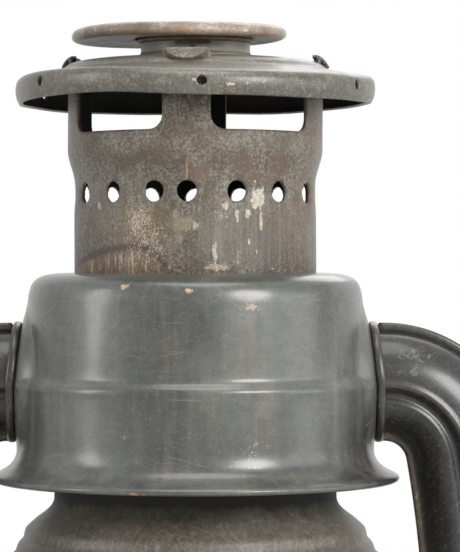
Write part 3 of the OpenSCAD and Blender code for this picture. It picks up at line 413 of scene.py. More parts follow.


# places on the front, in millimetres: middle x and z, half width and height, share, and a colour if it has one
# chamber: chips and stains; the pale upright strip at x -21.5 is a painted reflection, and the pale row at z 185
# is painted highlight specks on the flare
chamberMarksAndHighlights = [
    (-14.9, 222.3, 1.2, 1.0, 0.72, (172, 148, 114)), (-1.35, 221.5, 1.0, 0.8, 0.72, (178, 156, 124)),
    (11.7, 218.0, 4.2, 1.7, 0.6, (146, 128, 112)), (12.4, 188.6, 7, 4.2, 0.42, (150, 142, 130)),
    (-21.5, 217.5, 1.6, 7, 0.42, (146, 138, 128)), (-17, 190, 6, 5, 0.3, (136, 128, 116)),
    (15.9, 192, 0.7, 2.8, 0.62, (102, 84, 66)), (10.9, 185, 5.5, 0.6, 0.45, (146, 143, 134)),
    (-13.8, 198.6, 1.3, 1.1, 0.55, (112, 96, 76))]
# right tube: lighter patches on its upper side, painted light with scuffs
tubeScuffsAndPaintedLight = [(48, 207, 6, 2.4, 0.58, (94, 93, 87)), (47.5, 203.8, 4.5, 1.5, 0.5, (88, 86, 80))]
canopyMarks = [
    (-0.2, 265.3, 0.6, 0.6, 0.85, (166, 144, 124)), (7.4, 264.4, 1.5, 0.5, 0.8, (172, 154, 134)),
    (10.8, 264.6, 0.4, 0.35, 0.8, (168, 150, 130)), (-18, 266, 9, 3, 0.3, (112, 98, 80))]
cream, blush, olive = (184, 176, 161), (178, 160, 141), (136, 126, 106)
# curls: middle and half height; crack: x, low and high end; darkTop: low and high end, share
chimneyMarksAndShade = {
    "calm": [(14, 233, 10, 7, 0.8), (-20, 241, 5, 6, 0.5), (-9, 244, 5, 3, 0.5), (3, 233, 4, 6, 0.5)],
    # the first entry, at z 265.4, is painted shade under the canopy's rim, with soot
    "stainsAndShade": [(0, 265.4, 60, 2.6, 3.0, (34, 31, 27)), (12.3, 248, 7, 2.6, 0.9, (96, 73, 59)),
        (-10, 249.8, 9, 2.2, 0.8, (82, 68, 56)), (0, 253.5, 30, 3, 0.5, (92, 80, 66)),
        (21, 238, 5, 7, 0.5, (104, 84, 66)), (-12, 235, 6, 6, 0.8, (112, 94, 66)),
        (0, 225.6, 40, 1.0, 0.8, (70, 52, 42)), (0.5, 246.5, 2.4, 3.2, 0.6, (112, 90, 74))],
    "specks": [(-12.4, 237, 2.8, 3.6, 0.18), (-10, 233, 5.5, 5.5, 0.14), (-12, 228, 6, 3, 0.1),
        (6, 238, 3, 3, 0.1), (0, 240, 26, 14, 0.05)],
    "flecks": [(13.1, 241, 1.9, 3.0, 0.95, cream), (8.9, 237.2, 0.6, 1.9, 0.85, cream),
        (11, 237.6, 1.1, 1.4, 0.8, cream), (13.9, 236, 0.5, 2.4, 0.9, cream),
        (6.3, 239.2, 1.4, 1.4, 0.72, cream), (12.6, 244.6, 0.3, 0.5, 0.9, cream),
        (-2.4, 235.3, 3.6, 2.0, 0.9, olive), (-4.2, 237.6, 1.2, 1.8, 0.8, olive),
        (-3.4, 232.4, 1.4, 2.6, 0.8, olive), (0.2, 235.2, 0.9, 1.1, 0.75, blush),
        (-12.2, 237, 1.1, 2.2, 0.62, cream), (4.6, 226.4, 3.4, 1.3, 0.82, blush),
        (4.1, 230.4, 0.7, 3.4, 0.8, cream), (9.0, 228, 0.5, 2.4, 0.8, cream),
        (11.4, 231.8, 0.3, 1.2, 0.8, cream), (13, 229.8, 0.3, 1.1, 0.7, cream),
        (-5.5, 226.8, 1.6, 1.8, 0.6, cream), (-20.6, 239.4, 0.5, 1.3, 0.8, cream),
        (16.4, 226, 0.9, 0.4, 0.7, cream)],
    "tide": {"x": -12.4, "z": 230.5, "left": 0.021, "right": 0.09, "from": -26, "to": -7, "thick": 0.7},
    "curls": (254.5, 5), "crack": (-1.8, 244.7, 250)}
# on the cap, darkTop makes the dish darker towards its top
capMarks = {
    "stainsAndShade": [(0, 276.0, 40, 0.45, 0.9, (150, 118, 90)), (1, 276.6, 13, 1.6, 1.0, (152, 122, 104)),
        (-16, 277.4, 5, 2, 0.7, (128, 108, 90)), (17, 276.6, 3, 2, 0.9, (150, 117, 99)),
        (-10.5, 277.9, 3.6, 1.0, 1.0, (92, 94, 84)), (-21, 276.4, 4, 1.2, 0.8, (110, 106, 94)),
        (12.5, 277.6, 2.4, 1.2, 0.8, (112, 108, 96))],
    "flecks": [(10.7, 276.9, 0.9, 0.6, 0.8, cream)], "darkTop": (278.3, 279.7, 0.62)}
# on the hood, darkTop is painted shade under the chamber's lip, with grime
hoodMarksAndShade = {"darkTop": (172.5, 176, 0.96), "calm": [(0, 165, 200, 40, 0.6)]}
finishes = {
    "grey_paint": enamel("fieldGreyEnamel", (86, 88, 83), (41, 43, 41), 0.36, marks=chamberMarksAndHighlights, coat=0.5,
                         coatRough=0.2),
    "dark_paint": enamel("darkGreyEnamel", (40, 40, 38), (17, 18, 17), 0.34, marks=tubeScuffsAndPaintedLight, chips=0.6,
                         film=(60, 57, 51), coat=0.4, coatRough=0.2, shine=0.3, folds=0.6, rub=0.22),
    "heat_worn_paint": heatWorn("heatWornEnamel", (114, 109, 99), (74, 70, 63), 0.5, chimneyMarksAndShade),
    "bare_steel": tinned("tinnedSteel", (150, 148, 142), (92, 90, 86), 0.36),
    "burner_brass": tarnishedBrass(),
    "globe_glass": lampGlass(),
    "cotton_wick": wickCotton(turn=-55, warp=5.2, weft=4.4, charLow=77.5, charHigh=82),
    "cork_seal": cork(),
}
canopyPaint = enamel("canopyEnamel", (95, 92, 83), (68, 65, 57), 0.4, marks=canopyMarks, film=(114, 107, 92),
                     dust=0.6)
hoodPaint = heatWorn("hoodEnamel", (104, 98, 88), (70, 66, 58), 0.45, hoodMarksAndShade)
# painted light: the collar's enamel is a lighter copy that stands in for light in the shade under the cap; the
# cap's tone is partly its own pale paint and partly lightened the same way
capPaintLit = heatWorn("capEnamelLit", (186, 176, 160), (148, 139, 125), 0.4, capMarks)
collarPaintLit = enamel("collarEnamelLit", (178, 174, 159), (146, 142, 128), 0.45, film=(150, 142, 124))
sootBlack = soot()
for name, node in nodes.items():
    node.data.materials.clear()
    node.data.materials.append(finishes[slotOf[name]])
print("finishes made:", len(bpy.data.materials))


def gridFaces(rows, columns, wrapRows=False, wrapColumns=False):
    # one quad between each pair of neighbouring rows and columns
    i, j = np.meshgrid(np.arange(rows if wrapRows else rows - 1),
                       np.arange(columns if wrapColumns else columns - 1), indexing="ij")
    up, over = (i + 1) % rows, (j + 1) % columns
    quads = [i * columns + j, up * columns + j, up * columns + over, i * columns + over]
    return np.stack(quads, -1).reshape(-1, 4)


def joinParts(parts):
    # several (points, faces) arrays as one, with the faces' numbers moved on
    starts = np.cumsum([0] + [len(points) for points, _ in parts])
    faces = [list(face) for (_, rows), start in zip(parts, starts) for face in rows + start]
    return np.concatenate([points for points, _ in parts]), faces


mergeWithin, sliverUnder = 1e-6, 1e-7


def addPiece(name, points, faces, replaced, finish=None, wear=None, thick=None, inner=None, turnOut=False,
             body=None):
    # points in millimetres; merged doubles close the poles, Solidify gives a sheet its wall and inner finish;
    # a piece that names its body is a second half, and replaces nothing more
    mesh = bpy.data.meshes.new(name)
    mesh.from_pydata((np.reshape(points, (-1, 3)) * mm).tolist(), [], [list(map(int, f)) for f in faces])
    if wear is not None:
        values = np.asarray(wear, np.float32).ravel()
        mesh.attributes.new("wear", "FLOAT", "POINT").data.foreach_set("value", values)
    shape = bmesh.new()
    shape.from_mesh(mesh)
    bmesh.ops.remove_doubles(shape, verts=shape.verts, dist=mergeWithin)
    bmesh.ops.dissolve_degenerate(shape, dist=sliverUnder, edges=shape.edges)
    if turnOut:
        bmesh.ops.recalc_face_normals(shape, faces=shape.faces)
    loose = [v for v in shape.verts if not v.link_faces]
    bmesh.ops.delete(shape, geom=loose, context="VERTS")
    shape.to_mesh(mesh)
    shape.free()
    mesh.polygons.foreach_set("use_smooth", np.ones(len(mesh.polygons), bool))
    piece = bpy.data.objects.new(name, mesh)
    bpy.context.scene.collection.objects.link(piece)
    if thick:
        wall = piece.modifiers.new("wall", "SOLIDIFY")
        wall.thickness, wall.offset = thick * mm, -1
        wall.material_offset = 1 if inner else 0
    mesh.materials.append(finish or finishes[slotOf[replaced[0]]])
    if inner:
        mesh.materials.append(inner)
    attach(piece, body or bodyOf[replaced[0]])
    if not body:
        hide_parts(*replaced)
    return piece


def around(count):
    # equal angles round a full turn
    return np.linspace(0, 2 * np.pi, count, endpoint=False)


def aim(degrees):
    # cosine and sine of an angle
    return np.array([math.cos(math.radians(degrees)), math.sin(math.radians(degrees))])


def bell(value, middle, width):
    # 1 at the middle, falling off as exp(-(distance / width) squared)
    return np.exp(-((value - middle) / width) ** 2)


def ramp(value, low, high):
    # 0 below low, 1 above high, straight between
    return np.clip((value - low) / (high - low), 0, 1)


def ease(share):
    # smooth step: 3 share squared less 2 share cubed
    return share * share * (3 - 2 * share)


def wrap(value, period):
    # the same place round a turn, between minus and plus half a period
    return (value + period / 2) % period - period / 2


def boxy(wave, power):
    # a wave's size to a power, its sign kept
    return np.sign(wave) * np.abs(wave) ** power


def wavy(a, z, waves):
    # sum of slow waves round the axis and up it: size * sin(count * a + z / pitch + start)
    return sum(size * np.sin(count * a + z / pitch + start) for size, count, pitch, start in waves)


upright = 1e6  # pitch of a wave that hardly changes with height


def cornersOf(p, groups):
    # each group's offsets, added to the radius and the height that it names
    return np.array([(p[r] + dr, p[z] + dz) for r, z, offsets in groups for dr, dz in offsets], float)


def roundedPath(path, cuts=3):
    # each pass cuts every corner at a quarter and three quarters of its sides
    for _ in range(cuts):
        a, b = path[:-1], path[1:]
        inner = np.stack([a * 0.75 + b * 0.25, a * 0.25 + b * 0.75], 1).reshape(-1, 2)
        path = np.concatenate([path[:1], inner[1:-1], path[-1:]])
    return path


def runLength(path):
    # way along the path to each of its points
    return np.concatenate([[0], np.cumsum(np.linalg.norm(np.diff(path, axis=0), axis=1))])


def evenPath(path, count):
    # the same path with points at equal distances
    d = runLength(path)
    want = np.linspace(0, d[-1], count)
    return np.stack([np.interp(want, d, path[:, k]) for k in range(2)], -1)


def profile(p):
    # the piece's own corners, rounded and evenly spaced
    return evenPath(roundedPath(cornersOf(p, p["profile"])), p["points"])


def polar(r, a, z):
    # points (r cos a, r sin a, z)
    return np.stack(np.broadcast_arrays(r * np.cos(a), r * np.sin(a), z), -1)


def turnAbout(loop, steps):
    # each point of the loop carried round the axis
    return polar(loop[None, :, 0], around(steps)[:, None], loop[None, :, 1])


def turnedSheet(path, thick, steps):
    # outside of a sheet, then its inside a wall's thickness to the left, as one loop carried round the axis
    slope = np.gradient(path, axis=0)
    slope /= np.linalg.norm(slope, axis=1, keepdims=True)
    inside = path + thick * np.stack([-slope[:, 1], slope[:, 0]], -1)
    inside[:, 0] = np.maximum(inside[:, 0], 0)
    loop = np.concatenate([path, inside[::-1]])
    return turnAbout(loop, steps), gridFaces(steps, len(loop), True, True)


def snapToCuts(cuts, s, d, reach, probe, free=True):
    # grid points within reach of a cut's edge move on to it, down the slope of the distance to it;
    # points well inside a cut are not kept
    near = cuts(s, d)
    slopeS = (cuts(s + probe, d) - cuts(s - probe, d)) / (2 * probe)
    slopeD = (cuts(s, d + probe) - cuts(s, d - probe)) / (2 * probe)
    snap = np.abs(near) < reach
    s = s - np.where(snap, near * slopeS, 0)
    d = d - np.where(snap & free, near * slopeD, 0)
    return s, d, near, (near > 0) | snap


def keptFaces(faces, keep):
    # quads with four kept corners, and triangles where only three are kept
    flags = keep.ravel()[faces]
    three = flags.sum(1) == 3
    return faces[flags.all(1)], faces[three][flags[three]].reshape(-1, 3)


# profiles, here and below: radius name, height name, and offsets from both
chamber = {
    "lip": 180.1, "step": 201.5, "top": 225, "low": 38.9, "up": 37.4, "lipR": 44.8, "hole": 26.9, "wall": 0.8,
    "points": 110, "steps": 384,
    "profile": [
        ("lipR", "lip", [(-0.7, -0.7), (0, -0.35), (0.1, 0.35), (-0.9, 1.0), (-3.2, 2.1)]),
        ("low", "lip", [(1.0, 3.7), (0.15, 6.2), (0, 9)]),
        ("low", "step", [(0, -2.2), (0.25, -1.3), (-0.1, -0.3)]),
        ("up", "step", [(0.15, 0.7), (-0.05, 2.4), (-0.1, 8)]),
        ("up", "top", [(-0.4, -7.5), (-0.7, -4.2), (-1.6, -1.9), (-3.6, -0.6), (-6.2, -0.1)]),
        ("hole", "top", [(1.5, 0), (0, 0)])],
    "spout": {"x": 39.3, "z": 201.05, "tall": 12.2, "deep": 10.2, "fade": 0.5, "lean": 0.1},
    "lipSpots": [(-107, 9), (-82, 5), (-40, 6), (15, 8), (80, 12), (140, 7), (-165, 6)],
    "dents": [(0.12, 2, 60, 0.4), (0.08, 3, 25, 2.0), (0.05, 7, 18, 1.0)], "dentLow": 6, "dentHigh": 4}


def makeChamber(c):
    # turned wall with slow dents; near the tubes x is pulled out to the spout's face by a smooth oval bell
    lip, top, s = c["lip"], c["top"], c["spout"]
    points, faces = turnedSheet(profile(c), c["wall"], c["steps"])
    x, y, z = np.moveaxis(points, -1, 0)
    dents = wavy(np.arctan2(y, x), z, c["dents"]) / c["low"]
    inner = ramp(z, lip, lip + c["dentLow"]) * (1 - ramp(z, top - c["dentHigh"], top))
    points[..., :2] *= (1 + dents * inner)[..., None]
    away = np.hypot((z - s["z"]) / s["tall"], y / s["deep"])
    pull = ease(1 - ramp(away, 1, 1 + s["fade"]))
    face = s["x"] - s["lean"] * np.maximum(z - s["z"], 0)
    points[..., 0] += np.sign(x) * pull * np.maximum(face - np.abs(x), 0)
    turn = np.degrees(np.arctan2(y, x))
    spots = sum(bell(wrap(turn - at, 360), 0, wide) for at, wide in c["lipSpots"])
    rim = bell(np.hypot(x, y), c["lipR"], 0.6) * (z < lip + 0.3)
    wear = (0.15 + 0.6 * spots) * rim + 0.25 * bell(z, top - 0.6, 0.6)
    addPiece("chamberWall", points, faces, ["chamber_shell"], wear=wear)


makeChamber(chamber)

# worn rows: height over z, share, half height
hood = {
    "z": 169.9, "r": 41.2, "neck": 31, "top": 195.8, "bore": 26.55, "wall": 0.8, "points": 90, "steps": 256,
    "profile": [
        ("r", "z", [(0, -12.2), (0.05, -10), (0, -7.9), (-0.5, -6.8), (-1.7, -5.9), (-2.0, -4.6), (-2.6, -3.6),
                    (-3.5, -2.9), (-3.6, -1.6), (-4.0, -0.6), (-4.8, 0.1)]),
        ("neck", "z", [(4, 1.35), (2.1, 2.7), (0.7, 4), (0.1, 5.2), (0, 6.2)]),
        ("neck", "top", [(0, -1), (-1, 0)]), ("bore", "top", [(0, 0)])],
    "wornRows": [(-12.2, 0.5, 0.7), (-5.5, 0.3, 0.8)]}


def makeHood(h):
    # ribbed skirt under the chamber, turned from its profile
    points, faces = turnedSheet(profile(h), h["wall"], h["steps"])
    wear = sum(share * bell(points[..., 2], h["z"] + up, wide) for up, share, wide in h["wornRows"])
    addPiece("hoodSkirt", points, faces, ["globe_hood"], hoodPaint, wear)


makeHood(hood)

chimney = {
    "r": 26.5, "head": 28, "low": 191.8, "top": 272.1, "holeZ": 242.2, "holeR": 2.25, "holes": 16,
    "rowGap": 19.5, "ripple": 0.02, "pressed": 0.25, "flareUp": 2.6, "headZ": 252, "windowZ": 255.2,
    "corner": 3.0, "shelf": 268.2, "shelfCorner": 0.4, "turn": -4, "post": 10.3, "sidePost": 25.7, "wall": 0.8,
    "cell": 0.62, "snap": 0.62, "probe": 0.01, "lean": 0.014, "leanFrom": 226, "leanFull": 234,
    "dents": [(0.08, 2, 30, 1.0), (0.06, 5, 14, 0.3), (0.04, 9, 9, 2.2)],
    "tongue": [(26.2, 272.4), (27.2, 272.5), (28.1, 272.0), (28.9, 271.1), (29.5, 270.0)], "tongueSteps": 17,
    "tongueHalf": 0.43}


def chimneyCuts(c, s, z):
    # distance to the nearest hole or window, below zero inside it; s runs round the tube in millimetres
    girth = 2 * np.pi * c["head"]
    cuts = []
    row = np.linspace(c["rowGap"], 360 - c["rowGap"], c["holes"] - 1) - 90
    for k, angle in enumerate([c["turn"] - 90, *row]):
        ds, dz = wrap(s - angle / 360 * girth, girth), z - c["holeZ"]
        ripple = 1 + c["ripple"] * np.sin(3 * np.arctan2(dz, ds) + 1.7 * k)
        cuts.append(np.hypot(ds, dz) - c["holeR"] * ripple)
    post, side = (math.degrees(math.asin(c[name] / 2 / c["head"])) for name in ("post", "sidePost"))
    for k in range(4):
        start, end = (side, post) if k % 2 == 0 else (post, side)
        for first, last, low, corner in ((start, end, c["windowZ"], c["corner"]),
                                         (post, post, c["shelf"], c["shelfCorner"])):
            middle = c["turn"] + 90 * k + (first + 90 - last) / 2
            ds = wrap(s - middle / 360 * girth, girth)
            qs, qz = np.abs(ds) - (90 - first - last) / 720 * girth + corner, low + corner - z
            outside = np.hypot(np.maximum(qs, 0), np.maximum(qz, 0))
            cuts.append(outside + np.minimum(np.maximum(qs, qz), 0) - corner)
    return np.minimum.reduce(cuts)


def makeChimney(c):
    # flat sheet of cells, edges snapped to the cuts, rolled to r(z) and leaned back: z - lean * y;
    # a rounded tongue bends out over each post
    girth = 2 * np.pi * c["head"]
    across, up = int(girth / c["cell"]), int((c["top"] - c["low"]) / c["cell"])
    s, z = np.meshgrid(np.arange(across) * girth / across, np.linspace(c["low"], c["top"], up), indexing="ij")
    inner = (z > z[0, 0]) & (z < z[0, -1])
    s, z, near, keep = snapToCuts(partial(chimneyCuts, c), s, z, c["snap"] * c["cell"], c["probe"], inner)
    a, edge = s / c["head"], np.maximum(near, 0)
    flare = ease(ramp(z, c["holeZ"] + c["flareUp"], c["headZ"]))
    r = c["r"] + (c["head"] - c["r"]) * flare + wavy(a, z, c["dents"])
    r = r - c["pressed"] * np.exp(-edge / 0.7) * (z < c["holeZ"] + 4)
    level = z - c["lean"] * r * np.sin(a) * ramp(z, c["leanFrom"], c["leanFull"])
    points = polar(r, a, level).reshape(-1, 3)
    quads, tris = keptFaces(gridFaces(across, up, True), keep)
    parts = [(points, quads)]
    n = c["tongueSteps"]
    t, w = np.linspace(0, 1, n)[None, :], np.linspace(-1, 1, n)[:, None]
    half = c["post"] * c["tongueHalf"] * np.sqrt(1 - 0.98 * ramp(t, 0.4, 1) ** 2)
    tr, tz = evenPath(roundedPath(np.array(c["tongue"])), n).T
    for k in range(4):
        ta = math.radians(c["turn"] + 90 * k) + w * half / tr
        bent = polar(tr, ta, tz - c["lean"] * tr * np.sin(ta))
        parts.append((bent.reshape(-1, 3), gridFaces(n, n)[:, ::-1]))
    points, faces = joinParts(parts)
    wear = np.full(len(points), 0.1)
    wear[:near.size] = 0.5 * np.exp(-edge / 0.4).ravel()
    addPiece("chimneyTube", points, faces + tris.tolist(), ["chimney_tube"], wear=wear, thick=c["wall"],
             inner=sootBlack)
    print("chimney cells:", len(quads))


makeChimney(chimney)

canopy = {
    "z": 261.7, "r": 39.2, "foot": 29.4, "collar": 14.6, "axis": 0, "wall": 0.8, "points": 120, "steps": 400,
    "profile": [
        ("r", "z", [(-0.9, -0.1), (-0.35, 0.9), (-0.05, 2.2), (0, 3.6), (-0.25, 5.0), (-0.95, 5.95), (-2.2, 6.35),
                    (-3.8, 6.6), (-6, 7.0)]),
        ("foot", "z", [(1.4, 7.4), (0.2, 7.65), (-0.4, 8.0), (-0.9, 8.6), (-2.2, 9.3), (-5.5, 9.8)]),
        ("collar", "z", [(6.4, 10.1), (0, 10.45), (-6.6, 10.5)]), ("axis", "z", [(0, 10.5)])],
    "holes": 6, "holeTurn": -88, "holeR": 1.1, "holeUp": 3.7, "holeSquat": 0.72, "rimPoints": 20, "snap": 0.34,
    "probe": 0.002, "lift": 1.1, "liftTall": 5.5,
    "rimWaves": [(0.45, 2, upright, 0.6), (0.25, 3, upright, 1.9), (0.16, 5, upright, 0.2),
        (0.08, 9, upright, 1.0)],
    "edgeWaves": [(0.25, 2, upright, 2.0), (0.12, 4, upright, 0.7)]}


def canopyCuts(c, holeAt, s, along):
    # distance to the nearest rim hole, an oval: way round, and way along the profile times a squat
    turns = [math.radians(c["holeTurn"] + 360 * k / c["holes"]) for k in range(c["holes"])]
    tall = (along - holeAt) * c["holeSquat"]
    return np.minimum.reduce([np.hypot(wrap(s / c["r"] - turn, 2 * np.pi) * c["r"], tall) - c["holeR"]
                              for turn in turns])


def makeCanopy(c):
    # turned dish whose rim rises and falls round the edge, its lower edge lifted at the front;
    # holes cut as in the chimney
    z, r, foot = c["z"], c["r"], c["foot"]
    path = profile(c)
    d = runLength(path)
    s, along = np.meshgrid(around(c["steps"]) * r, d, indexing="ij")
    holeAt = np.interp(z + c["holeUp"], path[:c["rimPoints"], 1], d[:c["rimPoints"]])
    s, along, near, keep = snapToCuts(partial(canopyCuts, c, holeAt), s, along, c["snap"], c["probe"])
    a = s / r
    pr, pz = np.interp(along, d, path[:, 0]), np.interp(along, d, path[:, 1])
    rim = ramp(pr, foot, r) ** 1.5
    lifted = c["lift"] * (0.5 - 0.5 * np.sin(a)) ** 3 * (1 - ramp(pz, z, z + c["liftTall"]))
    pz = pz + rim * wavy(a, pz, c["rimWaves"]) + lifted
    pr = pr + rim * wavy(a, pz, c["edgeWaves"])
    points = polar(pr, a, pz)
    quads, tris = keptFaces(gridFaces(c["steps"], c["points"], True), keep)
    wear = 0.4 * np.exp(-np.maximum(near, 0) / 0.5) + 0.3 * np.exp(-along / 0.8)
    wear = wear + 0.2 * bell(pr, foot - 0.6, 0.7)
    addPiece("canopyDish", points, quads.tolist() + tris.tolist(), ["canopy"], canopyPaint, wear, c["wall"],
             sootBlack)


makeCanopy(canopy)

topCap = {
    "z": 275.4, "top": 279.8, "r": 23.6, "collar": 12, "axis": 0, "shift": -3.6, "tilt": -0.7, "wall": 0.9,
    "points": 70, "steps": 256,
    "profile": [
        ("collar", "z", [(-2, 1.0)]),
        ("r", "z", [(-7, 0.95), (-3.4, 0.7), (-1.6, 0.3), (-0.15, 0.8), (0.05, 1.8), (-0.35, 2.7), (-1.5, 3.25)]),
        ("r", "top", [(-4, -0.85), (-12, -0.6)]), ("axis", "top", [(4, -0.5), (0, -0.5)])],
    "plate": [("axis", "z", [(0, 0)]), ("collar", "z", [(0.7, 0), (1, 0.3), (0.9, 0.8)]),
        ("axis", "z", [(0, 0.8)])],
    "stud": [("axis", "z", [(0, 0.4), (2, 0.4), (1.8, 1.6)]), ("axis", "top", [(1.8, -1.2), (0, -1.2)])],
    "plateSteps": 96, "studSteps": 24, "studs": 3, "studR": 6,
    "waves": [(0.14, 2, upright, 0.5), (0.1, 3, upright, 2.0)]}


def makeTopCap(c):
    # flat dish with a thick rolled edge, tilted and knocked to one side, on three studs over its seat plate
    shell, faces = turnedSheet(profile(c), c["wall"], c["steps"])
    x, y, _ = np.moveaxis(shell, -1, 0)
    edge = np.clip(np.hypot(x, y) / c["r"], 0, 1) ** 3
    shell[..., 2] += edge * wavy(np.arctan2(y, x), 0, c["waves"]) - math.tan(math.radians(c["tilt"])) * x
    shell[..., 0] += c["shift"]
    turned = [turnAbout(cornersOf(c, c["plate"]), c["plateSteps"])]
    for k in range(c["studs"]):
        stud = turnAbout(cornersOf(c, c["stud"]), c["studSteps"])
        stud[..., :2] += c["studR"] * aim(90 + 360 / c["studs"] * k) + (c["shift"], 0)
        turned.append(stud)
    points, faces = joinParts([(shell.reshape(-1, 3), faces)] +
                              [(part.reshape(-1, 3), gridFaces(*part.shape[:2], True)) for part in turned])
    wear = np.zeros(len(points))
    wear[:edge.size] = 0.15 * edge.ravel()
    addPiece("capDish", points, faces, ["top_cap"], capPaintLit, wear)


makeTopCap(topCap)

collar = {
    "r": 12, "flangeR": 13.6, "low": 272.2, "high": 275.4, "wall": 0.48, "points": 40, "steps": 192,
    "profile": [("flangeR", "low", [(0, 0.05), (0.1, 0.25), (-0.2, 0.42)]),
        ("r", "low", [(0.5, 0.5), (0.05, 0.9), (0, 1.5)]), ("r", "high", [(0, -0.05)])],
    "buckle": 0.03, "buckleTall": 0.6, "lugs": (-2.6, 1.4), "lugR": 1.9, "reach": 1.5,
    "lugBack": (0, 0.7, 0.15), "lugGrid": (13, 21)}


def edgeLoop(rows, columns):
    # numbers of a grid's outer points, once round
    n = np.arange(rows * columns).reshape(rows, columns)
    return np.concatenate([n[0], n[1:, -1], n[-1, -2::-1], n[-2:0:-1, 0]])


def makeCollar(c):
    # turned wall on a thin buckled flange, and two half-round lugs bent out of its upper edge at the front
    r, low, radius = c["r"], c["low"], c["lugR"]
    wall, wallFaces = turnedSheet(profile(c), c["wall"], c["steps"])
    x, y, z = np.moveaxis(wall, -1, 0)
    foot = 1 - ramp(z, low, low + c["buckleTall"])
    wall[..., :2] *= (1 + c["buckle"] * foot * np.sin(3 * np.arctan2(y, x) + 0.7))[..., None]
    parts = [(wall.reshape(-1, 3), wallFaces)]
    rows, columns = c["lugGrid"]
    t, w = np.meshgrid(np.linspace(0, 1, rows), np.linspace(-1, 1, columns), indexing="ij")
    flat, ring = gridFaces(rows, columns), edgeLoop(rows, columns)
    ahead = np.roll(ring, -1)
    rim = np.stack([ring, ahead, ahead + t.size, ring + t.size], -1)
    for middle in c["lugs"]:
        x = middle + w * radius * np.sqrt(1 - 0.99 * t * t)
        out = c["reach"] * np.sin(0.5 * np.pi * np.clip(t * 1.6, 0, 1)) * (1 - 0.25 * t)
        face = np.stack([x, -np.sqrt(r * r - x * x) - out, c["high"] - 0.1 - t * radius], -1).reshape(-1, 3)
        parts.append((np.concatenate([face, face + c["lugBack"]]),
                      np.concatenate([flat, flat[:, ::-1] + t.size, rim])))
    points, faces = joinParts(parts)
    addPiece("capCollar", points, faces, ["cap_collar"], collarPaintLit, np.full(len(points), 0.2), turnOut=True)


makeCollar(collar)
print("upper pieces made")

# folds: share of the fold's reach and of its thickness, from the rim to the oval
tube = {
    "start": 41.6, "stub": 4.6, "z": 200.6, "bendR": 17.5, "leanOut": 10, "leanIn": 12, "bowR": 273.203,
    "footR": 60, "slope": 37.6262, "slopeLow": (54, 43.5), "slopeHigh": (30, 62), "lobeA": 11, "lobeB": 9,
    "mid": 0.45, "out": 13.4, "in": 12.5, "foldT": 0.9, "foldLeast": 0.05,
    "lowFold": [(1, 0), (1, 0.6), (0.75, 1), (0.3, 1), (0, 0.55)],
    "highFold": [(1, 0), (1, 0.6), (0.75, 1), (0.25, 1), (0, 0.55)], "grooveU": -2.2, "grooveW": 1.25,
    "grooveD": 0.17, "ridgeU": 0.0, "ridgeW": 0.62, "ridgeH": 0.6, "samples": 61, "bendRings": 42,
    "bowRings": 46, "footRings": 14, "search": 40, "searchSteps": 801}


def tubeSection(t, share):
    # half section v(u): an oval with a ridge and a groove beside it, and flat folds at both ends
    low, high = t["mid"] - t["lobeA"], t["mid"] + t["lobeA"]
    k = -np.cos(np.linspace(0, np.pi, t["samples"])[1:-1])
    u = t["mid"] + t["lobeA"] * k
    v = t["lobeB"] * np.sqrt(1 - k * k) * (1 - t["grooveD"] * bell(u, t["grooveU"], t["grooveW"]))
    v = v + t["ridgeH"] * bell(u, t["ridgeU"], t["ridgeW"])
    lowFold, highFold = np.array(t["lowFold"]).T, np.array(t["highFold"][::-1]).T
    lowU = low - (t["foldLeast"] + share * (t["in"] + low)) * lowFold[0]
    highU = high + (t["foldLeast"] + share * (t["out"] - high)) * highFold[0]
    root = t["foldT"] * lowFold[1, -1]
    u = np.concatenate([lowU, u, highU])
    v = np.concatenate([t["foldT"] * lowFold[1], np.maximum(v, root), t["foldT"] * highFold[1]])
    return np.concatenate([u, u[-2:0:-1]]), np.concatenate([v, -v[-2:0:-1]])


def addPair(name, node, points, faces, wear):
    # the right-hand piece, then its mirror image with x turned round
    for side, which in ((1, "right"), (-1, "left")):
        addPiece(name + which, points * (side, 1, 1), faces, [node + which], wear=wear, turnOut=True)


